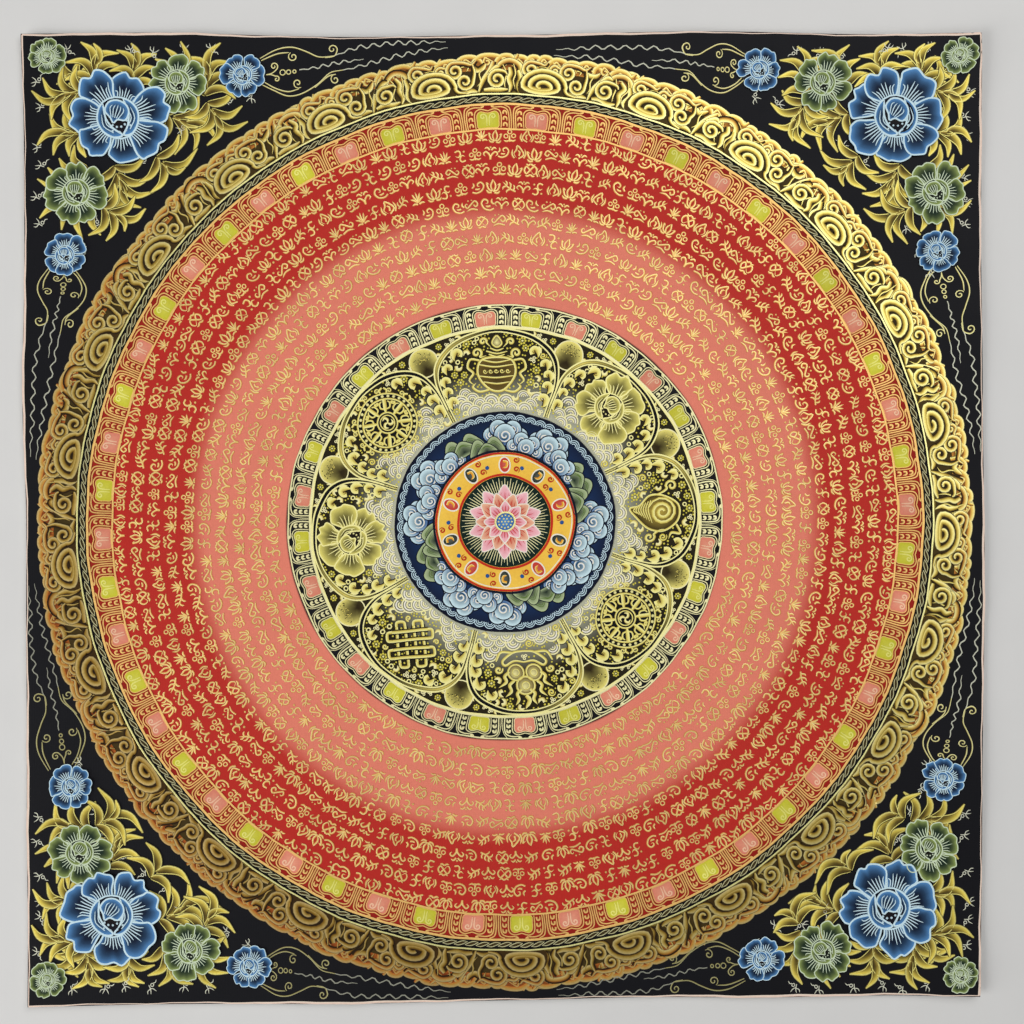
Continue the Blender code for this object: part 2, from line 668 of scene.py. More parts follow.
class Recipe:
    """One material's nodes."""

    def __init__(self, name: str) -> None:
        """Starts a material of this name with one plain shader.

        Args:
            name: The name.
        """
        self.material = bpy.data.materials.new(name)
        self.material.use_nodes = True
        self.nodes = self.material.node_tree.nodes
        self.links = self.material.node_tree.links
        self.shader = self.nodes["Principled BSDF"]

    def node(
        self, kind: str, settings: dict[str, Any] | None = None, sockets: dict[Any, Any] | None = None
    ) -> bpy.types.Node:
        """Adds a node.

        Args:
            kind: The node's type.
            settings: Its own settings, or a ramp's stops as places and colours.
            sockets: The values, or what links to them, by name or number.

        Returns:
            The node.
        """
        made = self.nodes.new(kind)
        for name, value in (settings or {}).items():
            if name == "stops":
                ramp = made.color_ramp
                while len(ramp.elements) < len(value):
                    ramp.elements.new(0.5)
                for element, (place, colour) in zip(ramp.elements, value):
                    element.position = place
                    element.color = (*colour[:3], 1)
            else:
                setattr(made, name, value)
        for name, value in (sockets or {}).items():
            self.feed(made.inputs[name], value)
        return made

    def feed(self, socket: bpy.types.NodeSocket, value: Any) -> None:
        """Links a value to a socket, or sets the socket to a plain one.

        Args:
            socket: The socket.
            value: A value, another socket, or a plain number, vector or colour.
        """
        if isinstance(value, Value):
            value = value.socket
        if isinstance(value, bpy.types.NodeSocket):
            self.links.new(value, socket)
        else:
            socket.default_value = value

    def value(
        self,
        kind: str,
        settings: dict[str, Any] | None = None,
        sockets: dict[Any, Any] | None = None,
        output: Any = 0,
    ) -> Value:
        """Adds a node and wraps one of its outputs, which output names."""
        return Value(self, self.node(kind, settings, sockets).outputs[output])

    def place(self) -> bpy.types.NodeSocket:
        """Where on the object a point is, in metres."""
        return self.node("ShaderNodeTexCoord").outputs["Object"]

    def vector(self, operation: str, first: Any, second: Any) -> bpy.types.NodeSocket:
        """A Vector Math node on two vectors or colours."""
        return self.node("ShaderNodeVectorMath", {"operation": operation}, {0: first, 1: second}).outputs[0]

    def noise(self, scale: float, detail: float = 3) -> Value:
        """Soft noise from 0 to 1, with this many blots to a metre."""
        sockets = {"Vector": self.place(), "Scale": scale, "Detail": detail}
        return self.value("ShaderNodeTexNoise", None, sockets)

    def threads(self, pitch: float, direction: str) -> Value:
        """Draws the cloth's threads across one direction.

        Args:
            pitch: How far apart they are, in metres.
            direction: X or Y.

        Returns:
            The threads, from 0 to 1.
        """
        settings = {"wave_type": "BANDS", "bands_direction": direction}
        sockets = {"Vector": self.place(), "Scale": tau / (20 * pitch), "Distortion": 0.6}
        return self.value("ShaderNodeTexWave", settings, {**sockets, "Detail Scale": 60}, "Fac")

    def tinted(self, colour: Any, share: Value) -> bpy.types.NodeSocket:
        """A colour made darker or lighter all over by a share round 1."""
        grey = self.node("ShaderNodeCombineXYZ", None, {0: share, 1: share, 2: share}).outputs[0]
        return self.vector("MULTIPLY", colour, grey)

    def dress(self, bump: Value, height: float, **sockets: Any) -> bpy.types.Material:
        """Feeds the shader, by its sockets' names with low lines for spaces.

        Args:
            bump: The relief of the surface, from 0 to 1.
            height: How high that relief is, in metres.
            sockets: What each of the shader's sockets gets.

        Returns:
            The finished material.
        """
        relief = self.node("ShaderNodeBump", None, {"Height": bump, "Distance": height})
        self.feed(self.shader.inputs["Normal"], relief.outputs[0])
        for name, value in sockets.items():
            self.feed(self.shader.inputs[name.replace("_", " ")], value)
        return self.material


@dataclass(frozen=True)
class PaintFinish:
    """Distemper and gold paint: each point's own colour, a little uneven, with brushed gold in it."""

    name: str = "brushed_paint"
    roughness: float = 0.62
    gilt_gloss: float = 0.26
    blotch: float = 0.24

    def material(self) -> bpy.types.Material:
        """Makes the material.

        Returns:
            The finish as a material.
        """
        known = bpy.data.materials.get(self.name)
        if known is not None:
            return known
        recipe = Recipe(self.name)
        pigment = recipe.node("ShaderNodeAttribute", {"attribute_name": "paint"})
        gilt = Value(recipe, pigment.outputs["Alpha"])
        grain = recipe.noise(900, 2)
        share = 1 + (recipe.noise(60) - 0.5) * self.blotch + (grain - 0.5) * self.blotch
        rough = self.roughness + (grain - 0.5) * 0.14 - gilt * self.gilt_gloss
        return recipe.dress(
            grain,
            0.00002,
            Base_Color=recipe.tinted(pigment.outputs["Color"], share),
            Metallic=gilt,
            Roughness=rough,
            Specular_IOR_Level=PAINT_SHEEN,
        )


@dataclass(frozen=True)
class GroundFinish:
    """The painted ground: haze, black, pink that melts into red, and black round it all.

    Radii are in mm from the mandala's centre.
    """

    name: str = "painted_ground"
    haze_from: float = 57.0
    haze_to: float = 80.0
    brown_to: float = 101.0
    black_from: float = 104.0
    pink_from: float = 114.0
    melt_from: float = 157.0
    melt_to: float = 168.0
    red_to: float = 218.8
    reach: float = 260.0
    hard_edge: float = 0.312
    thread_pitch: float = 0.0009
    haze: tuple[int, int, int] = (194, 194, 168)
    black: tuple[int, int, int] = (19, 19, 23)
    brown: tuple[int, int, int] = (38, 32, 15)
    pink: tuple[int, int, int] = (232, 132, 110)
    red: tuple[int, int, int] = (187, 42, 34)

    def _stops(self) -> list[tuple[float, np.ndarray]]:
        """Works out the rings of colour.

        Returns:
            Radii as shares of the reach, each with its paint.
        """
        colours = (self.black, self.brown, self.haze, self.pink, self.red)
        black, brown, haze, pink, red = (paint(*colour) for colour in colours)
        stops = (
            (self.haze_from, haze),
            (0.55 * self.haze_from + 0.45 * self.haze_to, blend(haze, brown, 0.55)),
            (self.haze_to, brown),
            (self.brown_to, brown),
            (self.black_from, black),
            (self.pink_from, black),
            (self.pink_from + self.hard_edge, pink),
            (self.melt_from, blend(pink, red, 0.06)),
            (self.melt_to, blend(pink, red, 0.97)),
            (self.red_to, red),
            (self.red_to + self.hard_edge, black),
        )
        return [(radius / self.reach, ink) for radius, ink in stops]

    def material(self) -> bpy.types.Material:
        """Makes the material.

        Returns:
            The finish as a material.
        """
        recipe = Recipe(self.name)
        moved = recipe.vector("SUBTRACT", recipe.place(), (CENTRE[0] * MM, CENTRE[1] * MM, 0))
        flat = recipe.vector("MULTIPLY", moved, (1, 1, 0))
        radius = recipe.value("ShaderNodeVectorMath", {"operation": "LENGTH"}, {0: flat}, "Value")
        share = radius / (self.reach * MM) + (recipe.noise(14) - 0.5) * 0.012
        ramp = recipe.node("ShaderNodeValToRGB", {"stops": self._stops()}, {"Fac": share})
        weave = recipe.threads(self.thread_pitch, "X") * recipe.threads(self.thread_pitch, "Y")
        grain = recipe.noise(700, 2)
        shade = 0.93 + recipe.noise(22) * 0.14 + (grain - 0.5) * 0.16 + weave * 0.03
        return recipe.dress(
            weave * 0.6 + grain * 0.4,
            0.00005,
            Base_Color=recipe.tinted(ramp.outputs["Color"], shade),
            Roughness=0.56 + (recipe.noise(40) - 0.5) * 0.16,
            Specular_IOR_Level=PAINT_SHEEN,
        )


@dataclass(frozen=True)
class CottonFinish:
    """The bare cotton of the rim and the back: threads both ways, and stains where size soaked in."""

    name: str = "cotton_support"
    pitch: float = 0.0009
    colour: tuple[int, int, int] = (216, 208, 194)

    def material(self) -> bpy.types.Material:
        """Makes the material.

        Returns:
            The finish as a material.
        """
        recipe = Recipe(self.name)
        weave = (recipe.threads(self.pitch, "X") + recipe.threads(self.pitch, "Y")) * 0.5
        stain = recipe.noise(9, 5)
        shade = 0.80 + weave * 0.10 + stain * 0.16 + recipe.noise(160, 2) * 0.06
        cotton = (*paint(*self.colour)[:3], 1)
        sockets = {6: cotton, 7: STAIN, 0: (stain - 0.4) * 0.35}
        mixed = recipe.node("ShaderNodeMix", {"data_type": "RGBA"}, sockets).outputs[2]
        return recipe.dress(weave, 0.00012, Base_Color=recipe.tinted(mixed, shade), Roughness=0.88)


# ---------------------------------------------------------------- canvas


@dataclass
class Canvas:
    """The cloth itself: its painted face with the cut rim, and its bare back."""

    cloth: Cloth
    cells: int = 100

    def _grid(self, height: float) -> tuple[np.ndarray, np.ndarray]:
        """Works out the sheet's points.

        Args:
            height: How high they are over its underside.

        Returns:
            The points, and their places on the map.
        """
        share = np.linspace(-1, 1, self.cells + 1)
        x, y = np.meshgrid(share * self.cloth.half_width, share * self.cloth.half_height)
        x, y = self.cloth.cut(x.ravel(), y.ravel())
        return np.stack([x, y, self.cloth.lift(x, y) + height], axis=1), self.cloth.map_place(x, y)

    def _faces(self, upward: bool) -> np.ndarray:
        """Works out the grid's faces.

        Args:
            upward: Whether they look up.

        Returns:
            The faces, by the numbers of their points.
        """
        wide = self.cells + 1
        here = (np.arange(self.cells)[:, None] * wide + np.arange(self.cells)).ravel()
        ring = np.stack([here, here + 1, here + wide + 1, here + wide], axis=1)
        return ring if upward else ring[:, ::-1]

    def _rim(self) -> np.ndarray:
        """The grid's points round its edge, against the clock."""
        grid = np.arange((self.cells + 1) ** 2).reshape(self.cells + 1, -1)
        return np.concatenate([grid[0, :-1], grid[:-1, -1], grid[-1, :0:-1], grid[:0:-1, 0]])

    def build(self) -> tuple[bpy.types.Object, bpy.types.Object]:
        """Builds the face and the back.

        Returns:
            The painted face with the rim of the cut cloth, and the bare back.
        """
        top, spread = self._grid(self.cloth.thickness)
        low, _ = self._grid(0)
        rim = self._rim()
        count = len(rim)
        points = np.vstack([top, top[rim], low[rim]])
        here = len(top) + np.arange(count)
        ahead = len(top) + np.roll(np.arange(count), -1)
        wall = np.stack([here + count, ahead + count, ahead, here], axis=1)
        around = np.linspace(0, 1, count)
        edge = np.vstack([np.stack([around, np.full(count, v)], axis=1) for v in (0.001, 0)])
        faces = np.vstack([self._faces(True), wall])
        finishes = (GroundFinish(), CottonFinish())
        face = make_mesh("painted_face", points, faces, np.vstack([spread, edge]), finishes)
        kinds = np.zeros(len(faces), dtype=np.int32)
        kinds[-count:] = 1
        face.data.polygons.foreach_set("material_index", kinds)
        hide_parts("painted_canvas")
        back = make_mesh("bare_back", low, self._faces(False), spread, [CottonFinish()])
        return face, back


# ---------------------------------------------------------------- rings


@dataclass
class Design:
    """What a piece is painted with: its film, and the small unsteadiness of one hand, drawn from a seed."""

    seed: int = field(default=0, kw_only=True)
    film: Film = field(default_factory=Film, init=False)
    rng: np.random.Generator = field(init=False)

    def __post_init__(self) -> None:
        """Starts the random draws."""
        self.rng = np.random.default_rng(self.seed)

    def near(self, middle: float, spread: float) -> float:
        """A number that is at most this far from the middle."""
        return middle + self.rng.uniform(-spread, spread)

    def shaken(self, knots: Sequence[Knot], across: float, along: float, wide: float = 1) -> list[Knot]:
        """The knots, each moved a little both ways, after X is made this much wider."""
        return [(self.near(wide * x, across), self.near(y, along)) for x, y in knots]


def gold_ring(film: Film, radius: float, width: float, ink: np.ndarray, lift: float = 0.3) -> None:
    """A thin line all round the mandala."""
    film.loop(circle(*CENTRE, radius, 240), Brush(width, ink, lift=lift))


def full_ring(film: Film, bands: Sequence[tuple[float, np.ndarray]], lift: float) -> None:
    """Paints a band all round the mandala.

    Args:
        film: What it is added to.
        bands: Its lines' radii from the inner one to the outer one, each with its paint.
        lift: How high it lies.
    """
    turn = np.linspace(0, tau, 241)
    rows = [around_centre(turn, radius) for radius, _ in bands[::-1]]
    film.strip(rows, [ink for _, ink in bands[::-1]], [lift] * len(bands))


@dataclass
class CloudBand(Design):
    """The outer band of cloud scrolls, with flame tongues along its rim."""

    radius: float = 224.0
    repeats: int = 25
    first: float = 1.5
    # Painted shade: the gold is darker and browner away from this lit side, in degrees from the top, by these
    # shares of its colours.
    lit_side: float = 38.0
    painted_shade: tuple[float, float, float] = (0.32, 0.47, 0.50)

    # One repeat, 57 mm long. Its scrolls: eye, size, leaving angle, turns, width, tail.
    scrolls = (
        ((6.6, 13.4), 3.9, 92, -1.6, 1.5, ((10.8, 16.4), (13.6, 15.6), (15.2, 17.4))),
        ((18.4, 13.6), 2.4, 85, -1.2, 1.3, ((20.8, 15), (22.6, 15.8))),
        ((25.6, 12.8), 4.2, 98, -1.6, 1.6, ((30, 16.6), (33.8, 15.4), (36.2, 17.6))),
        ((30.2, 6.9), 4.2, 10, 1.5, 1.6, ((35.2, 11.6), (34.2, 15.6))),
        ((46, 7.2), 4.7, 75, -1.6, 1.7, ((50.4, 11.2), (51.6, 9.8))),
    )
    bodies = (
        ((45, 16.4), (43.2, 12.4), (40.2, 7.4), (37.6, 0.9)),
        ((46.4, 10.4), (48, 15.2), (52.8, 17), (57.2, 15), (58.4, 9.4), (57.6, 2.4)),
        ((52.6, 14), (54, 11), (52.4, 8), (53.8, 4.2), (52.8, 0.9)),
        ((34.6, 14.8), (36.6, 13), (39.4, 13.8), (41, 15.8)),
        ((41.8, 9.2), (45.4, 13.4), (48, 13.8)),
        ((24.2, 2.2), (28.6, 1.9), (33.4, 2.6), (36.8, 1.4)),
        ((39.6, 2), (43.6, 2.2), (48, 1.6), (52, 2.4)),
        ((0.4, 12.4), (1.8, 8), (0.4, 4.2), (1.6, 0.9)),
    )
    wisps = (
        ((55.2, 15.6), (56, 10.8), (54.8, 6.6), (55.6, 2.4)),
        ((49.6, 15), (50.6, 10.6), (49.6, 6), (50.6, 2.6)),
        ((38.8, 13.2), (37.6, 10.2), (38.2, 6.6), (36.4, 4)), ((29.4, 14.6), (32.2, 14.4), (31.4, 12)),
        ((22.4, 9.6), (25, 7), (24.6, 4.2)), ((11.4, 14.6), (14, 15), (16.6, 13.4)),
        ((42.6, 12), (42.4, 9), (43.6, 4.8)), ((3, 10.4), (3.6, 7.4), (2.4, 3.4)),
    )
    body_width = 2.2
    body_heat = 0.5
    # A flame of the rim: its crest and its two kinds of tip. Flames are this far apart up to the last.
    crest = ((-0.6, 12.8), (-0.6, 16.8), (1.4, 19.6), (4.2, 19.8))
    tips = (((6, 18.4), (7.2, 20.9)), ((6.6, 18.2), (7.6, 15.4)))
    flame_pitch = 5.6
    last_flame = 53

    def _relief(self, film: Film, path: Path2, width: float, level: float, lit_left: bool = True) -> None:
        """Draws a body of gold between two dark lines, lit along one side, that turns to flame at the rim.

        Args:
            film: What it is added to.
            path, width: Its middle line and its greatest width.
            level: How high its dark lines lie.
            lit_left: Whether its left side is the lit one.
        """
        heat = self.body_heat * np.clip((path[:, 1:] - 13) / 4.5, 0, 1)
        lit, body = blend(LEMON, FLAME, 0.12 * heat), blend(LEMON, GOLD, 0.7) + (FLAME - GOLD) * 0.5 * heat
        rows = [
            (1, 0.42, HOLLOW, level), (1, 0, lit, level + 0.02), (0.35, 0, body, level + 0.05),
            (-0.45, 0, blend(OCHRE, FLAME, heat), level + 0.05),
            (-1, 0, blend(BRONZE, RUST, heat), level + 0.02), (-1, -0.3, HOLLOW, level),
            (-1, -0.9, blend(HOLLOW, BRONZE, 0.3), level),
        ]
        if not lit_left:
            rows = [(-share, -beyond, ink, lift) for share, beyond, ink, lift in reversed(rows)]
        film.ribbon(path, width, 0.6, 0.25, rows)

    def _rim(self, film: Film, fire: float) -> None:
        """Draws the flames of the rim: lemon crests round orange brown hollows, with a curl in each.

        Args:
            film: What they are added to.
            fire: How red they are.
        """
        hot, ember = blend(OCHRE, FLAME, 0.3 + 0.6 * fire), blend(UMBER, RUST, 0.2 + 0.5 * fire)
        edge, body = blend(LEMON, FLAME, 0.1 * fire), blend(GOLD, FLAME, 0.35 * fire)
        x, level = -3, 0.05
        while x < self.last_flame:
            long, y = self.rng.uniform(0.85, 2), self.rng.uniform(-1.4, 0.4)
            tip = self.tips[0 if self.rng.uniform() < 0.45 else 1]
            crest = curve(*((x + long * a, y + b) for a, b in self.crest + tip), steps=3)
            hollow = np.vstack([crest, (x + 7 * long, 12.4)])[::-1]
            film.patch(hollow, (x + 3.2 * long, y + 16), ember, hot, (0.5, 1), level, 0, 1.8)
            rows = (
                (1, 0.35, HOLLOW, level), (1, 0, edge, level + 0.03), (0, 0, body, level + 0.06),
                (-1, 0, hot, level + 0.03), (-1, -0.45, HOLLOW, level),
            )
            film.ribbon(crest, 2.1, 0.6, 0.25, rows)
            end = (x + self.flame_pitch * long, y + 14.6)
            curl = trail(spiral(x + 2.8 * long, y + 16.4, 1.9, 100, -1.1), end)
            film.stroke(curl, Brush(1.3, body, edge, RUST, 0.9, 0.2, level + 0.05, 0.04))
            x, level = end[0], level + 0.012

    def _oval(self, film: Film, level: float) -> None:
        """Draws the big oval scroll at the foot of the band, its rings apart with brown between them.

        Args:
            film: What it is added to.
            level: How high it lies.
        """
        x, turns = self.near(13.4, 0.5), self.rng.uniform(2.4, 2.75)
        outline = circle(x, 3.6, 12.8, 24) * np.array([1, 0.76]) + np.array([0, 1])
        outline[:, 1] = np.maximum(outline[:, 1], 0.5)
        film.patch(outline, (x, 5), HOLLOW, blend(BRONZE, UMBER, 0.6), (0.6, 1), level, 0)
        path = trail(spiral(x, 4.4, 12, -14, -turns, 0.78, 0.27), (26.8, 1.8), (31, 0.9))
        self._relief(film, path, 2.35, level + 0.02)

    def _repeat(self, fire: float) -> Film:
        """Draws one repeat of the band, never quite the same twice.

        Args:
            fire: How red its rim is.

        Returns:
            The repeat.
        """
        film, level = Film(), 0.22
        self._rim(film, fire)
        for knots in self.bodies:
            path = curve(*self.shaken(knots, 0.5, 0.4), steps=4)
            self._relief(film, path, self.body_width, level, self.rng.uniform() < 0.5)
            level += 0.03
        for knots in self.wisps:
            path = curve(*self.shaken(knots, 0.6, 0.4), steps=4)
            film.stroke(path, Brush(0.8, GOLD, LEMON, HOLLOW, 0.5, 0.1, level, 0.02))
        for eye, size, leave, turns, width, tail in self.scrolls:
            x, y = self.shaken([eye], 0.6, 0.4)[0]
            size *= self.rng.uniform(0.94, 1.05)
            ground = circle(x, max(y, 0.75 * size), 0.8 * size, 14)
            film.patch(ground, (x, y), HOLLOW, UMBER, (1,), level, 0)
            scroll = spiral(x, y, size, self.near(leave, 8), turns, 1, min(1, (y - 0.8) / size))
            self._relief(film, trail(scroll, *tail), width, level + 0.01, turns < 0)
            level += 0.03
        self._oval(film, level)
        return film

    def draw(self) -> Film:
        """Draws the band.

        Returns:
            The whole band.
        """
        r, soil = self.radius, blend(UMBER, BRONZE, 0.25)
        full_ring(self.film, ((r, OCHRE), (r + 1.6, soil), (r + 12, soil), (r + 16.5, RUST)), 0.03)
        for step in range(self.repeats):
            turn = step * 360 / self.repeats + self.first
            # Painted shade: each repeat comes out darker and browner, and its rim redder, the farther it
            # turns from the lit side, with a little random tone besides.
            shade_share = 0.5 - 0.5 * cos(radians(turn - self.lit_side))
            tint = self.rng.uniform(0.94, 1.04) * (1 - shade_share * np.array(self.painted_shade))
            self.film.add(self._repeat(0.45 + 0.6 * shade_share), RingSpot(turn, r), 0.007 * (step % 3), tint)
        gold_ring(self.film, r - 0.1, 0.8, LEMON, 0.75)
        return self.film


@dataclass
class RopeRing(Design):
    """The black ring with a twisted rope on it."""

    inner: float = 218.9
    outer: float = 223.8
    links: int = 240
    side = ((-3.6, -0.9), (-1.5, 0.3), (1, 1.15), (3.4, 0.9))

    def draw(self) -> Film:
        """Draws the ring.

        Returns:
            The rope and the line at its inner side.
        """
        full_ring(self.film, ((self.inner, SOOT), (self.outer, SOOT)), 0.05)
        link, back = Film(), tuple((-x, -y) for x, y in self.side)
        lens = curve(*self.side, *back[:-1], steps=3, closed=True)
        link.patch(lens, (0, 0), blend(UMBER, BRONZE, 0.35), HOLLOW, (1,), 0.10, 0.02)
        thin = Brush(0.42, PALE_GOLD * 0.62, start=0.7, end=0.3, lift=0.13, crest=0.02)
        link.lines(thin, curve(*self.side, steps=3), curve(*back, steps=3))
        link = link.packed()
        for step in range(self.links):
            spot = RingSpot(step * 360 / self.links, 0.5 * (self.inner + self.outer))
            self.film.add(link, spot, 0.02 * (step % 2))
        gold_ring(self.film, self.inner, 0.8, AMBER)
        return self.film


class Ground(Enum):
    """What a jewel ring is painted on."""

    RED = "red"
    BLACK = "black"


@dataclass
class JewelRing(Design):
    """A ring of panels, each with a block of colour under an arch and curls at its sides."""

    inner: float
    outer: float
    panels: int
    ground: Ground
    first: float = 0.0

    # Sizes of one panel as it is drawn.
    drawn_width = 25
    drawn_height = 12.3
    block = (
        (-5, 0.5), (0, 0.4), (5, 0.5), (5.5, 3.8), (5.4, 7.4), (3.6, 9.1), (0, 8.2),
        (-3.6, 9.1), (-5.4, 7.4), (-5.5, 3.8),
    )
    arch = ((0, 9.3), (3.7, 10.2), (6.3, 8.6), (6.6, 4.2), (6.4, 0.4))
    outer_arch = ((10.8, 0.2), (10.9, 5.4), (10.2, 9.6), (7.4, 11.2), (3.4, 11.2))
    # The line beside the next panel, and its width, on each ground.
    sides = {
        Ground.RED: (((11.9, 0.1), (12, 6.4), (11.3, 10.6), (8.8, 12.1)), 0.75),
        Ground.BLACK: (((12.2, 0.1), (12.1, 5), (11.3, 9.4), (9.6, 12.1)), 0.34),
    }
    notch = ((-1.6, 10.4), (1.6, 10.4), (2.1, 12.1), (-2.1, 12.1))

    def _panel(self, block: np.ndarray, light: np.ndarray) -> Film:
        """Draws one panel.

        Args:
            block, light: The paints of its block and of the curls on it.

        Returns:
            The panel, its foot at the origin.
        """
        film, half = Film(), Film()
        red = self.ground is Ground.RED
        line, shade = (AMBER, RUST) if red else (PALE_GOLD, None)
        fine = Brush(0.75 if red else 0.5, line, None, shade, 0.9, 0.8, 0.16)
        outline = curve(*self.block, steps=3, closed=True)
        film.patch(outline, (0, 5), blend(block, light, 0.35), block, (0.6, 1), 0.07, 0.05)
        film.loop(outline, Brush(0.5, blend(line, block, 0.25), lift=0.13, crest=0.02))
        mark = Brush(0.75, light, start=0.9, end=0.5, lift=0.17)
        half.lines(mark, trail(spiral(2.5, 6.4, 1.7, 180, 1.2), (0.6, 4.6), (0.7, 1.4)))
        side, side_width = self.sides[self.ground]
        half.lines(fine, curve(*self.arch))
        half.lines(replace(fine, width=0.8 if red else 0.7), curve(*self.outer_arch))
        half.lines(replace(fine, width=side_width), curve(*side))
        half.lines(replace(fine, width=1), curve((3.4, 11.2), (2.1, 11.9), (3.6, 12.2)))
        for y in (1.5, 4.6, 7.7):
            comma = curve((7.9, y - 0.3), (8.2, y + 1.1), (9.3, y + 0.9), (9.6, y - 0.9))
            half.lines(Brush(1.15, line, None, shade, 1, 0.1, 0.15), comma)
        film.both(half)
        film.patch(np.array(self.notch), (0, 11.3), *(2 * [OXBLOOD if red else SOOT]))
        return film.packed()

    def draw(self) -> Film:
        """Draws the ring.

        Returns:
            The whole ring.
        """
        red = self.ground is Ground.RED
        line = AMBER if red else PALE_GOLD
        height = (self.outer - self.inner) / self.drawn_height
        stretch = np.array([tau * self.inner / self.panels / self.drawn_width, height])
        panels = [self._panel(SALMON, BLUSH), self._panel(CHARTREUSE, LIME)]
        if red:
            full_ring(self.film, ((self.inner, GARNET), (self.outer, GARNET)), 0.02)
        for step in range(self.panels):
            drawn = panels[step % 2]
            bent = replace(drawn, places=[places * stretch for places in drawn.places])
            spot = RingSpot(self.first + step * 360 / self.panels, self.inner)
            self.film.add(bent, spot, 0, self.rng.uniform(0.9, 1.06))
        gold_ring(self.film, self.inner - 0.3, 0.9, line)
        gold_ring(self.film, self.outer + 0.2, 0.7, line)
        return self.film


@dataclass(frozen=True)
class Ornament:
    """A small ornament of brush strokes, about 7 mm across, round its own middle.

    Sides are strokes that come with their mirror images, lines are strokes that
    don't, and dots and rings are places with a radius.
    """

    sides: tuple[tuple[Knot, ...], ...] = ()
    lines: tuple[tuple[Knot, ...], ...] = ()
    dots: tuple[tuple[float, float, float], ...] = ()
    rings: tuple[tuple[float, float, float], ...] = ()

    def draw(self, brush: Brush) -> Film:
        """Paints the ornament.

        Args:
            brush: What it is painted with.

        Returns:
            The ornament.
        """
        half, film = Film(), Film()
        half.lines(brush, *(curve(*knots, steps=3) for knots in self.sides))
        film.both(half)
        film.lines(brush, *(curve(*knots, steps=3) for knots in self.lines))
        for x, y, radius in self.dots:
            film.dot(x, y, radius, brush.middle)
        for x, y, radius in self.rings:
            film.ring(x, y, radius, replace(brush, width=0.7 * brush.width), 8)
        return film.packed()


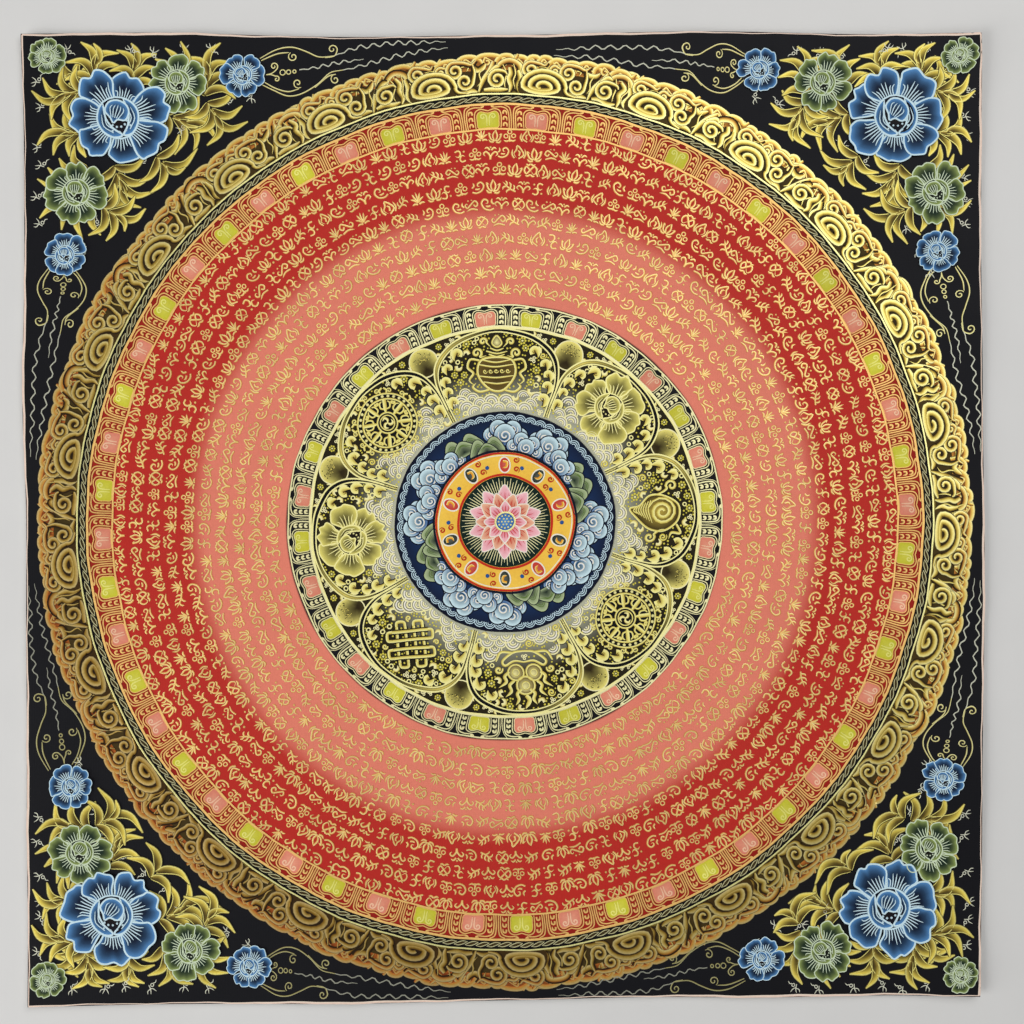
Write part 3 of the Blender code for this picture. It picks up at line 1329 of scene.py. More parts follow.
@dataclass
class OrnamentRows(Design):
    """Ten rows of small gold ornaments on the pink and the red."""

    first_radius: float = 122.0
    pitch: float = 8.92
    rows: int = 10
    room: float = 8.0

    ornaments = (
        Ornament(
            sides=(((0.1, -3), (0.5, -0.9), (2.2, 0.7), (3.3, -0.3), (2.3, -1.4)),
                   ((0.5, 1.5), (1.7, 2.7), (3, 2.1))),
            dots=((0, 2.9, 0.55),),
        ),
        Ornament(
            lines=(((0.3, -3), (-2.3, -1.2), (-1.3, 1.2), (0.6, 3.3), (1, 1.3), (2.4, -0.6), (1.2, -2.6)),
                   ((0.1, -1.7), (-0.4, 0), (0.6, 1.1))),
            sides=(((2.5, -2.9), (3.6, -0.8), (3, 1.8)),),
        ),
        Ornament(
            lines=(((-3.3, -2.3), (0, -0.5), (3.1, 2.7)), ((-2, -1.6), (-2.7, 0), (-2.2, 1.4)),
                   ((-0.4, -0.6), (-0.9, 1.2), (0, 2.7)), ((-0.9, -1), (0.8, -1.7), (1.4, -2.9)),
                   ((1.1, 0.6), (2.6, 0), (3.2, -1.3)), ((1.2, 1), (1.1, 2.3), (1.8, 3.2))),
        ),
        Ornament(
            rings=((0, 2, 1.1), (-1.9, -0.1, 1.1), (1.9, -0.1, 1.1)),
            lines=(((0, -3.1), (0.3, -1.5), (0, 0.4)),),
            sides=(((0.2, -2.4), (1.7, -2.9), (3.1, -2.2)),),
        ),
        Ornament(
            lines=(((-1.4, 0.6), (-2.2, -0.5), (-3.4, 0.6), (-2.2, 2.2), (0, 0.6), (2.2, -1), (3.3, 0.4),
                    (2.3, 1.5), (1.5, 0.6)), ((-3, -2.5), (0, -1.7), (3, -2.6))),
            dots=((1.2, 2.8, 0.5), (-0.6, 2.9, 0.4)),
        ),
        Ornament(
            lines=(((0, -2.6), (-1.1, 0.1), (0, 3.1)), ((0, 3.1), (1.1, 0.1), (0, -2.6))),
            sides=(((0.5, -2.6), (2.4, -1.5), (3.4, 1.5), (1.9, 0.6)),
                   ((0.6, -3.1), (2.3, -3.2), (3.5, -1.9))),
        ),
        Ornament(
            lines=(((0, 0), (-1.9, 1.9), (-3.1, 0), (-1.9, -1.9), (0, 0), (1.9, 1.9), (3.1, 0),
                    (1.9, -1.9), (0, 0)),),
            sides=(((0, 3.1), (1.2, 2.3), (2.4, 3.1)), ((0, -2.2), (1.2, -3), (2.4, -2.7))),
        ),
        Ornament(
            lines=(((-3, -2.1), (-1, -2.9), (1.7, -2), (3, 0.5), (1.7, 2.5), (-0.1, 1.9), (0, 0.5),
                    (1.1, 0.6)), ((-2.9, 0), (-1.8, 1.1), (-2.2, 2.8)),
                   ((-1.4, -0.8), (0.1, -1.1), (1, -0.6))),
        ),
        Ornament(
            sides=(((0.2, -2), (1.7, -0.5), (3.3, 0.4)), ((0.2, -1.8), (1.2, 0.6), (1.9, 2.6)),
                   ((0.4, -2.8), (1.9, -2.3), (3.2, -2.8))),
            lines=(((0, -2), (0.3, 0.4), (0, 3.3)),),
        ),
        Ornament(
            lines=(((-2.6, 2.6), (-0.6, 3), (0.2, 1.4), (-1, -0.2), (-2.6, 0.6)),
                   ((2.6, -2.6), (0.6, -3), (-0.2, -1.4), (1, 0.2), (2.6, -0.6))),
            dots=((2.2, 2.2, 0.6), (-2.2, -2.2, 0.6)),
        ),
    )

    def draw(self) -> Film:
        """Draws the rows.

        Returns:
            All the rows.
        """
        brush = Brush(0.92, AMBER, LEMON, COPPER, 0.95, 0.15, 0.10, 0.06)
        drawn = [ornament.draw(brush) for ornament in self.ornaments]
        kind, draws = 0, self.rng
        for row in range(self.rows):
            radius = self.first_radius + self.pitch * row
            count = round(tau * radius / self.room)
            for step in range(count):
                angle = self.near((step + 0.37 * row) * 360 / count, 0.25)
                out = self.near(radius, 0.4)
                place = on_ring(angle, out, draws.uniform(0.94, 1.10), draws.uniform(-7, 7))
                kind = (kind + 1 + int(draws.integers(0, len(drawn) - 2))) % len(drawn)
                mirrored = replace(place, mirror=bool(draws.integers(0, 2)))
                self.film.add(drawn[kind], mirrored, 0, draws.uniform(0.86, 1.05))
        return self.film


# ---------------------------------------------------------------- flowers


@dataclass(frozen=True)
class FlowerPaint:
    """A flower's paints: its petals' rim and heart, and its fine lines."""

    rim: np.ndarray
    heart: np.ndarray
    line: np.ndarray


BLUE_FLOWER = FlowerPaint(AZURE, MIDNIGHT, ICE)
GREEN_FLOWER = FlowerPaint(MOSS, PINE, MINT)
GILDED_FLOWER = FlowerPaint(blend(YELLOW, LEMON, 0.3), HOLLOW, LEMON)


@dataclass
class Peony(Design):
    """A peony seen from above: wavy petals round a cup with a closed bud, and fine pale lines.

    Everything is drawn for a radius of 1, then laid at the flower's size. The step is
    how much higher each petal lies than the last, and hold how far out the dark heart reaches.
    """

    radius: float
    paints: FlowerPaint
    draws: np.random.Generator
    petals: int = 8
    step: float = 0.05
    hold: float = 3.8

    shape = (
        (0, 0.20), (0.14, 0.36), (0.25, 0.52), (0.345, 0.68), (0.35, 0.82), (0.26, 0.92), (0.13, 1),
        (0, 0.95), (-0.13, 1), (-0.27, 0.93), (-0.35, 0.81), (-0.34, 0.67), (-0.25, 0.52), (-0.14, 0.36),
    )
    leaflet = (
        (0.10, -0.34), (0.28, -0.30), (0.40, -0.10), (0.40, 0.14), (0.27, 0.32), (0.12, 0.38), (0.22, 0.12),
        (0.20, -0.14),
    )
    bud = (
        (0, -0.22), (0.07, -0.12), (0.24, -0.08), (0.26, 0.12), (0.14, 0.26), (-0.06, 0.29), (-0.22, 0.18),
        (-0.24, -0.02), (-0.10, -0.12),
    )
    cup_share = 0.42
    seeds = 9

    def __post_init__(self) -> None:
        """Carries on with the draws of the piece that the flower is in."""
        self.rng = self.draws

    def _pen(self, width: float, level: float) -> Brush:
        """The fine brush for its lines, of a width in mm."""
        fine = max(0.42, width * self.radius / 25)
        return Brush(fine, self.paints.line, start=0.9, end=0.35, lift=level, crest=0.01)

    def _rib(
        self, film: Film, knots: Sequence[Knot], share: float = 1, level: float = 0.045, width: float = 0.5
    ) -> None:
        """A fine line on a petal, which this share of its size draws in."""
        film.stroke(curve(*knots, steps=3) * (self.radius * share), self._pen(width, level))

    def _piece(self, knots: Sequence[Knot], heart: Knot, hold: float) -> Film:
        """Draws one petal: its colour, dark at its foot, and its pale outline.

        Args:
            knots, heart: Its outline, and where it is darkest.
            hold: How far out it stays dark.

        Returns:
            The petal.
        """
        film = Film()
        outline = curve(*knots, steps=3, closed=True) * self.radius
        foot, inks = (heart[0] * self.radius, heart[1] * self.radius), self.paints
        film.patch(outline, foot, inks.heart, inks.rim, (0.4, 0.6, 0.76, 0.89, 1), 0.03, 0, hold)
        film.loop(outline, self._pen(0.9, 0.042))
        return film

    def _petal(self) -> Film:
        """Draws one outer petal.

        Returns:
            The petal, its foot at the flower's middle and its rim along Y.
        """
        wide = self.rng.uniform(0.92, 1.1) * 7 / self.petals
        knots = self.shaken(self.shape, 0.03, 0.035, wide)
        film = self._piece(knots, (self.near(0, 0.05), 0.52), self.hold)
        count = 7 if self.radius > 20 else 5
        for place in range(count):
            spread = 2 * place / (count - 1) - 1
            top = 0.74 - 0.12 * abs(spread) + 0.07 * self.near(0, 1)
            knots = ((0.13 * spread, 0.36), (0.17 * spread, 0.55), (0.24 * spread, top))
            self._rib(film, knots, 1, 0.042, 0.55)
        return film

    def _cup(self, turn: float) -> Film:
        """Draws the cup: seeds on black, two leaflets and a closed bud with ribs.

        Args:
            turn: The flower's turn in degrees.

        Returns:
            The cup.
        """
        r, cup = self.radius, Film()
        cup.disc(self.cup_share * r, HOLLOW, self.paints.heart, (1,), 0.03, 20)
        cup.ring(0, 0, self.cup_share * r, self._pen(0.8, 0.04), 20)
        for place in range(self.seeds):
            out, angle = r * (0.19 + 0.10 * (place % 2)), radians(-118 + 14 * place)
            cup.dot(out * cos(angle), out * sin(angle), max(0.32, 0.026 * r), self.paints.line, 0.06)
        for mirror, raised in ((False, 0.02), (True, 0.04)):
            half = self._piece(self.leaflet, (0.24, 0.05), 2.4)
            for inset in (0.85, 0.68):
                self._rib(half, ((0.28, -0.26), (0.40, 0), (0.30, 0.26)), inset)
            cup.add(half, Spot(0, 0, 40 if mirror else 10, mirror=mirror), raised)
        bud = self._piece(self.bud, (0, 0), 2.4)
        for place in range(-2, 3):
            top = (0.06 * place, 0.20 - 0.02 * abs(place))
            self._rib(bud, ((0.04 * place, -0.10), (0.075 * place, 0.08), top))
        cup.add(bud, Spot(-0.05 * r, 0.08 * r, 0.5 * turn, 0.92), 0.11)
        return cup

    def draw(self) -> Film:
        """Draws the flower.

        Returns:
            The whole flower round its own middle.
        """
        level, turn = 0, self.near(0, 35)
        for number in (*range(0, self.petals, 2), *range(1, self.petals, 2)):
            angle = self.near(turn + number * 360 / self.petals, 6)
            self.film.add(self._petal(), Spot(turn=angle, size=self.rng.uniform(0.9, 1.04)), level)
            level += self.step
        self.film.add(self._cup(turn), Spot(turn=0.6 * turn), level)
        return self.film


def leaf(long: float, bend: float, wide: float) -> Film:
    """Draws a curved pointed leaf with a dark halo, brown at its foot and gold at its tip.

    Args:
        long, wide: Its length and its greatest width.
        bend: How far its tip bends to the left, as a share of the length.

    Returns:
        The leaf, its foot at the origin and pointing along Y.
    """
    knots = ((0, 0), (0.14 * bend, 0.32), (0.02 * bend, 0.68), (-0.5 * bend, 0.98))
    spine = curve(*((x * long, y * long) for x, y in knots), steps=4)
    t = np.linspace(0, 1, len(spine))
    half = 0.5 * wide * np.sin(pi * np.clip(t * 0.96 + 0.04, 0, 1) ** 0.75)[:, None]
    side = sideways(spine) * np.sign(bend)
    gild = np.clip((t - 0.28) / 0.55, 0, 1)[:, None] ** 1.3
    foot = blend(UMBER, BRONZE, 0.25)
    near, far = blend(blend(foot, OCHRE, 0.6), BUTTER, gild**0.6), blend(foot, OCHRE, gild**1.6)
    rows = [
        (-half - 0.6, SOOT, 0.04), (-half - 0.05, blend(near, LEMON, 0.4), 0.06), (-half * 0.5, near, 0.08),
        (half * 0.1, blend(foot, near, 0.2 + 0.75 * gild), 0.08), (half * 0.9, far, 0.06), (half, far, 0.06),
        (half + 0.6, SOOT, 0.04),
    ]
    rows = rows if bend < 0 else rows[::-1]
    film = Film()
    film.strip([spine + side * row[0] for row in rows], [row[1] for row in rows], [row[2] for row in rows])
    fine = Brush(0.38, blend(LEMON, YELLOW, 0.5), start=0.5, end=0.6, lift=0.10, crest=0)
    film.lines(fine, spine - side * half, spine + side * half)
    return film


@dataclass(frozen=True)
class Flip:
    """A place that mirrors what is already on the sheet across its middle lines."""

    sign: Knot
    mirror: bool = False

    def lay(self, flat: Path2) -> Path2:
        """Where the points come to on the sheet."""
        return flat * np.array(self.sign)


@dataclass
class CornerSprays(Design):
    """The four sprays of peonies among plumes of gold leaves, with pale sprigs round them."""

    cloth: Cloth
    band_clear: float = 249.0

    # Each corner's way from the middle, and its flowers' middles: big, green and small.
    corners = (
        ((1, 1), (-201.3, 209.7), ((-169.9, 228), (-222.8, 170.5), (-238, 241.5)),
         ((-136, 232), (-229, 138))),
        ((-1, 1), (205.5, 210.3), ((167.3, 228), (226.4, 171), (237.6, 241.5)),
         ((134, 235), (227, 140))),
        ((1, -1), (-204.5, -207.6), ((-163.6, -225.9), (-221.2, -174.6), (-238, -240.5)),
         ((-133, -234), (-226, -140))),
        ((-1, -1), (201.8, -203.9), ((167.3, -225.9), (222.7, -172.5), (238.4, -237.6)),
         ((135, -230), (230, -136))),
    )
    # Plumes from the big flower's middle: foot, the way that it points against the clock from +X, size.
    plumes = (
        (-15, 14, 135, 0.7), (-14, 18, 78, 0.85), (8, 17, 88, 0.8), (26, 16, 60, 0.8),
        (46, 12, 84, 0.9), (47, 8, -62, 0.95), (25, 2, -22, 1), (20, -20, -45, 1),
    )
    # The plumes that lie on the diagonal, which have no twin, and a plume's leaves: place, spread and length.
    diagonal = (135, -45)
    blades = ((0, 78, 15), (4, 52, 17), (8, 27, 18), (11.5, 0, 20))
    leaf_width = 3.9

    def _clear(self, x: float, y: float, margin: float) -> bool:
        """Whether a place is on the black between the band and the cut edge."""
        wide, high = self.cloth.half_width - margin, self.cloth.half_height - margin - 3 * (y < 0)
        return abs(x) < wide and abs(y) < high and np.hypot(x - CENTRE[0], y - CENTRE[1]) > self.band_clear

    def _leaf_at(self, foot: Knot, lean: float, long: float, side: float, flip: Flip, level: float) -> None:
        """Lays one leaf in the corner, shortened until its tip is on the black.

        Args:
            foot, lean: Its foot, and its turn in degrees.
            long, side: Its length, and the side that it bends to, 1 or -1.
            flip: The corner.
            level: How much it is raised.
        """
        for share in (1, 0.84, 0.68, 0.54):
            flat = Film()
            bend = side * self.rng.uniform(0.5, 0.95)
            flat.add(leaf(long * share, bend, self.leaf_width * share**0.5), Spot(*foot, lean))
            tip = flip.lay(flat.places[0].reshape(7, -1, 2)[3, -1:])[0]
            if self._clear(*tip, 3.5):
                self.film.add(flat, flip, level, self.rng.uniform(0.88, 1.08))
                return

    def _leaves(self, flip: Flip, centre: Knot) -> None:
        """Draws the plumes round the big flower of one corner, on both sides of its diagonal.

        Args:
            flip: The corner.
            centre: The flower's middle.
        """
        centre_x, centre_y = flip.lay(np.array([centre]))[0]
        twins = []
        for u, v, heading, size in self.plumes:
            twins.append((u, v, heading, size))
            if heading not in self.diagonal:
                twins.append((-v, -u, -90 - heading, size))
        level = 0
        for du, dv, way, size in twins:
            turn = radians(way)
            for along, spread, long in self.blades:
                foot = (centre_x + du + size * along * cos(turn), centre_y + dv + size * along * sin(turn))
                for side in (-1, 1) if spread else (self.rng.choice((-1, 1)),):
                    lean = way - 90 + side * self.near(spread, 7) * 0.9
                    long_now = size * long * self.rng.uniform(0.92, 1.1)
                    self._leaf_at(foot, lean, long_now, side, flip, level)
                    level = (level + 0.02) % 0.5

    @staticmethod
    def _sprig() -> Film:
        """Draws a sprig.

        Returns:
            Three pale strokes, a bead and a tail.
        """
        film = Film()
        thin = Brush(0.5, SILVER, start=0.9, end=0.3, lift=0.14)
        film.ring(2, 0.4, 0.95, thin, 8)
        for knots in (
            ((0, 0), (0.5, 2.8), (0, 5.6)), ((0.2, 2.2), (2, 2.7), (3.7, 4.7)),
            ((0.2, 2.6), (-1.5, 3.5), (-1.9, 5.2)), ((2.9, -0.6), (4.2, -0.7), (5, -2.2)),
        ):
            film.stroke(curve(*knots, steps=3), thin)
        return film.packed()

    def _sprigs(self, flip: Flip) -> None:
        """Lays pale sprigs along the cut edges of a corner, and towards the band.

        Args:
            flip: The corner.
        """
        drawn, spots = self._sprig(), []
        for step in range(6):
            along = self.near(226 - 14.5 * step, 4)
            top = 243.5 + self.rng.uniform(-1.5, 1)
            spots.append(Spot(-along, top, self.near(0, 25), 0.85))
            side = -241 + self.rng.uniform(-1, 1.5)
            spots.append(Spot(side, along, self.near(90, 25), 0.85))
        for step in range(-5, 6):
            out = 257 + 11 * (1 - abs(step) / 6) + self.rng.uniform(-2, 3)
            spots.append(on_ring(-45 + 2.9 * step, out, 0.85, self.near(90, 60)))
        for spot in spots:
            flat = Film()
            flat.add(drawn, spot)
            self.film.add(flat, flip)

    def draw(self) -> tuple[Film, Film]:
        """Draws the corners.

        Returns:
            The leaves with the sprigs, and the flowers.
        """
        flowers = Film()
        for sign, big, green, small in self.corners:
            flip = Flip(sign, sign[0] * sign[1] < 0)
            self._sprigs(flip)
            self._leaves(flip, big)
            for places, radii, paints, level in (
                (green, (15.5, 16.5, 9.6), GREEN_FLOWER, 0.70),
                (small, (11.5, 11.5), BLUE_FLOWER, 0.72),
                ((big,), (26,), BLUE_FLOWER, 0.95),
            ):
                for place, radius in zip(places, radii):
                    flower = Peony(radius, paints, self.rng, 6 if radius < 14 else 7)
                    flowers.add(flower.draw(), Spot(*place), level)
        return self.film, flowers


@dataclass
class Tendrils(Design):
    """Gold tendrils that run from each spray along its side, and end in thin wavy lines."""

    # Each tendril's foot, the way that it runs, whether it is mirrored, its curls' length and its brightness,
    # which is painted shade that darkens the ones along the bottom and the lower left.
    feet = (
        (-136, 232, 0.7, False, 1, 1), (134, 235, 3, True, 0.80, 1),
        (228.5, 140, -87.2, False, 0.88, 1.1), (230.5, -137.5, -91.5, True, 0.80, 1),
        (135, -232.3, 180.1, False, 0.96, 0.50), (-134.5, -235.5, 180.9, True, 0.86, 0.55),
        (-228.8, -140, 91.6, False, 1, 0.55), (-228.5, 138, 88.8, True, 0.73, 0.85),
    )
    # Where the curls and the wavy lines end on the motif as it is drawn.
    curls_to = 47
    waves_to = 107
    beads = ((20.9, 1.1, 1.5), (24, 1.2, 1.2), (27, 1.5, 0.9))
    lower_stem = ((10.1, -4.8), (15.6, -7.9), (23.3, -11), (31, -9.9), (38.7, -5.5), (45.3, 0.7), (52.5, 2.5))
    inner_wave = ((52.5, 2.5), (62, 4.6), (72, 6.6), (81, 9), (92, 11), (107, 13.2))

    def _tendril(self) -> Film:
        """Draws one tendril.

        Returns:
            The tendril from a small flower at the origin, along X, with the cut edge towards Y.
        """
        film = Film()
        bold = Brush(0.72, blend(YELLOW, SILVER, 0.4), PALE_GOLD, BRONZE, 0.7, 0.6, 0.12)
        thin = Brush(0.6, SILVER * 0.8, start=0.8, end=0.4, lift=0.12)
        film.lines(
            bold,
            curve((9, 8.6), (17.8, 13.2), (25.5, 14.2), (33.2, 11.7), (39.8, 9.3), (47.5, 9.8)),
            curve((9.6, 7.5), (17.8, 10.9), (23.8, 11.5)),
            spiral(26, 9.2, 2.6, 120, -1.3),
            trail(spiral(46.6, 13.4, 2.5, -20, -1.2), (47.6, 9.8), (43, 9)),
            trail(spiral(16.3, 4.6, 2.1, -50, -1.3), (15.4, 1.2), (12, 0.4)),
            trail(spiral(17.6, -2.2, 1.8, 110, 1.2), (14.6, 0.4), (12, 0.4)),
            curve(*self.lower_stem),
            curve((11.2, -3.5), (16.7, -7), (23.3, -8.8), (29.4, -7.4)),
            spiral(28.8, -4.4, 2.8, -50, 1.3),
            curve((37.8, -6.9), (44.2, -1.2), (48.6, 0.2)),
            spiral(48.2, -2.4, 2.6, 80, -1.3),
        )
        for x, y, radius in self.beads:
            film.ring(x, y, radius, replace(bold, width=0.6), 10)
        film.lines(
            thin,
            zigzag(curve((47.5, 9.8), (58.5, 13.6), (71, 15), (84, 15.6), (106, 16.2)), 1.15, 6.6),
            zigzag(curve((29.5, 2.4), (40, 4.2), (51, 6.4), (63, 8)), 0.95, 5.6),
            zigzag(curve(*self.inner_wave), 1.15, 6.6),
        )
        return film.packed()

    def draw(self) -> Film:
        """Draws the tendrils.

        Returns:
            All eight.
        """
        drawn = self._tendril()
        for x, y, turn, mirror, long, shade in self.feet:
            fitted = drawn.places[0].copy()
            ends = (0, self.curls_to, self.waves_to)
            fitted[:, 0] = np.interp(fitted[:, 0], ends, (0, long * self.curls_to, self.waves_to))
            # The shade is painted shade, lower on the tendrils along the bottom and the lower left.
            self.film.add(replace(drawn, places=[fitted]), Spot(x, y, turn, 1, mirror), 0.02, shade)
        return self.film


@dataclass
class PaleEdge(Design):
    """The thin pale line where the primer shows along the cut edge."""

    cloth: Cloth
    width: float = 1.1
    steps: int = 80

    def draw(self) -> Film:
        """Draws the line.

        Returns:
            The line all round.
        """
        share = np.linspace(-1, 1, self.steps)
        wide, high, one = self.cloth.half_width, self.cloth.half_height, np.ones(self.steps)
        sides = ((share * wide, -high * one), (wide * one, share * high))
        inks = [blend(IVORY, SALMON, 0.2), blend(IVORY, SALMON, 0.4)]
        for x, y in (*sides, *((-x, -y) for x, y in sides)):
            path = np.stack(self.cloth.cut(x, y), axis=1) * (1 - 0.5 * self.width / wide)
            swell = 0.75 + 0.35 * np.sin(7 * share + x[0] * 0.01)
            left = sideways(path) * (0.5 * self.width * swell)[:, None]
            self.film.strip([path + left, path - left], inks, [0.03, 0.01])
        return self.film


# ---------------------------------------------------------------- inner petals

GILDED = Brush(1, blend(YELLOW, LEMON, 0.4), LEMON, OCHRE, 0.8, 0.5, 0.2, 0.05)


def gilt(width: float, **more: float) -> Brush:
    """The gilding brush at this width, with any other of its settings."""
    return replace(GILDED, width=width, **more)


class LuckyThings:
    """The gold motifs of the inner petals, each about 30 mm across round its own middle."""

    @staticmethod
    def wheel() -> Film:
        """Draws a wheel with eight spokes, leaves between them and a ring of studs.

        Returns:
            The wheel.
        """
        film, spoke, half, swirl = Film(), Film(), Film(), Film()
        film.disc(15.8, SOOT, SOOT, (1,), 0.1, 36)
        for radius, width in ((15.6, 0.9), (12.8, 0.9), (5.4, 0.8), (3.9, 0.6)):
            film.ring(0, 0, radius, gilt(width), 40)
        film.studs(30, 14.2, 0.8, LEMON, 0.2)
        spoke.stroke(curve((0, 5.4), (0, 9), (0, 12.9)), gilt(1.9, start=0.4, end=1))
        half.lines(gilt(0.9), curve((0.6, 7.2), (2.4, 8), (2.7, 10.4), (1.5, 11.6)))
        half.lines(gilt(0.7), spiral(3.3, 16.9, 1.5, 200, 1.3), spiral(3.9, 10.6, 1.1, 0, 1.2))
        half.lines(gilt(1.1), curve((0.4, 18.6), (1.9, 17.2), (1.4, 15.9)))
        spoke.both(half)
        film.around(spoke, 8)
        comma = curve((0, 0), (1.3, 1), (0.9, 2.8), (-1.1, 2.6))
        swirl.stroke(comma, Brush(1.3, LEMON, LEMON, OCHRE, 0.4, 0.05, 0.2))
        film.around(swirl, 3)
        return film.packed()

    @staticmethod
    def knot() -> Film:
        """Draws the endless knot, laid on its corner.

        Returns:
            The knot.
        """
        film, ends, turned = Film(), Film(), Film()
        cord, rim = gilt(1.7, start=1, end=1), Brush(2.9, SOOT, start=1, end=1, crest=0)
        pitch, reach = 5.2, 11
        for line in range(4):
            place = (line - 1.5) * pitch
            runs = (curve((place, -reach), (place, reach)), curve((-reach, place), (reach, place)))
            for level, path in zip((0, 0.12), runs):
                film.stroke(path, replace(rim, lift=0.14 + level))
                film.stroke(path, replace(cord, lift=0.17 + level))
        for x in (-pitch, pitch):
            loop = curve((x - 2.6, 10.8), (x - 2, 13.3), (x + 2, 13.3), (x + 2.6, 10.8))
            ends.stroke(loop, replace(cord, lift=0.34))
        ends.lines(replace(cord, width=1), spiral(0, 15.4, 1.8, -90, 1.3))
        film.around(ends, 4)
        turned.add(film, Spot(turn=45, size=0.88))
        return turned.packed()

    @staticmethod
    def shell() -> Film:
        """Draws a conch shell with its tail to one side and a scarf round it.

        Returns:
            The shell.
        """
        film = Film()
        body = curve(
            (-7.2, 3.6), (-2.4, 10.3), (6, 9.6), (10.8, 2.4), (8.9, -6), (2.4, -12.7), (-1.7, -14.9),
            (-2.9, -9.6), (-7.9, -4.3), closed=True,
        )
        film.patch(body, (0.5, 0), OCHRE, UMBER, (0.4, 0.75, 1), 0.1, 0.1)
        film.loop(body, gilt(1.1, lift=0.2))
        film.stroke(spiral(0.7, 2, 7.6, 250, 2.4), gilt(1.7, lift=0.26))
        for step in range(7):
            y = -4.3 - 1.3 * step
            rib = curve((-5.4 + 0.5 * step, y + 0.4), (-0.4, y - 1.1), (6.2 - 0.85 * step, y + 0.6), steps=4)
            film.stroke(rib, gilt(0.7, lift=0.26))
        film.lines(
            gilt(1.3, end=0.1),
            trail(spiral(-12.4, 7.6, 3.2, -60, 1.3), (-8.6, 0.6), (-7.6, -5)),
            trail(spiral(13.6, -5.4, 3, 120, 1.3), (10.4, 0.6), (10.4, 4)),
            curve((8, 9), (12.6, 11), (12.2, 6.4), (15.4, 4.6)),
        )
        return film.packed()

    @staticmethod
    def vase() -> Film:
        """Draws a round vase with a jewel on its lid and scarves at its sides.

        Returns:
            The vase.
        """
        film, half, fine = Film(), Film(), gilt(0.85, lift=0.22)
        knots = ((-3.6, -11.3), (3.6, -11.3), (9.8, -3.6), (8.2, 4.1), (0, 6), (-8.2, 4.1), (-9.8, -3.6))
        body = curve(*knots, closed=True)
        film.patch(body, (0, -2.4), UMBER, BRONZE, (0.6, 1), 0.1, 0.1)
        film.loop(body, replace(fine, width=1.2))
        for y, wide in ((-7.6, 7), (-4.4, 9.1), (1.4, 8.9), (3.8, 7.2), (6.8, 4.1), (8.4, 5.5), (10, 3.6)):
            film.stroke(curve((-wide, y + 0.5), (0, y - 0.7), (wide, y + 0.5)), fine)
        for step in range(5):
            film.stroke(spiral(-6 + 3 * step, -1.5, 1.3, 0, 1.2), replace(fine, width=0.6))
        drop = curve((0, 17), (-2.7, 13.2), (0, 11), (2.7, 13.2), closed=True)
        film.patch(drop, (0, 13.2), LEMON, BRONZE, (0.5, 1), 0.2, 0.1)
        film.loop(drop, fine)
        half.lines(
            replace(fine, width=1.3, end=0.1),
            trail(spiral(10.3, 8, 2.9, 230, 1.3), (5.3, 6.7)),
            trail(spiral(7.4, 14, 2.2, 200, 1.2), (3.2, 11)),
            curve((8.9, 4.1), (13.7, 4.6), (15.1, 0.5), (12.2, -2.4), (14.2, -6), (11.6, -8.6)),
            curve((4.1, -11.5), (9.1, -12.2), (12.5, -9.6), (10.8, -7.4)),
        )
        film.both(half)
        return film.packed()

    @staticmethod
    def gems() -> Film:
        """Draws three flaming gems on an open flower.

        Returns:
            The gems.
        """
        film, gem, half = Film(), Film(), Film()
        gem.patch(circle(0, 0, 3.2, 18), (0.8, 0.9), LEMON, BRONZE, (0.5, 1), 0.15, 0.1)
        gem.ring(0, 0, 3.5, gilt(0.8), 18)
        gem.ring(0, 0, 1.5, gilt(0.5, lift=0.3), 12)
        for x, y, size in ((-4.8, -1.2, 1.2), (4.8, -1.2, 1.2), (0, 5.5, 1.35)):
            film.add(gem, Spot(x, y, 0, size))
        flame, petal = gilt(1.7, end=0.05), gilt(1.3, end=0.6)
        for x, y, lean in ((4.1, 9.8, 1.7), (7.9, 5.5, 3.1), (10.3, 0.7, 4.1)):
            knots = ((x - 1.9, y - 2.4), (x + 0.5, y), (x - 0.2, y + 3.1), (x + lean, y + 6))
            half.stroke(curve(*knots), flame)
        half.lines(
            petal,
            curve((0, -12.5), (5.5, -11.8), (11.3, -7.7), (10.1, -5), (5.3, -7.2), (0, -6.5)),
            curve((5.5, -11.8), (12, -12), (14.9, -7.4)),
            spiral(13.6, -3, 2.2, 200, 1.3),
        )
        film.both(half)
        film.stroke(curve((0, 10.8), (-1.7, 13.7), (0.7, 18)), replace(flame, width=2.2))
        return film.packed()


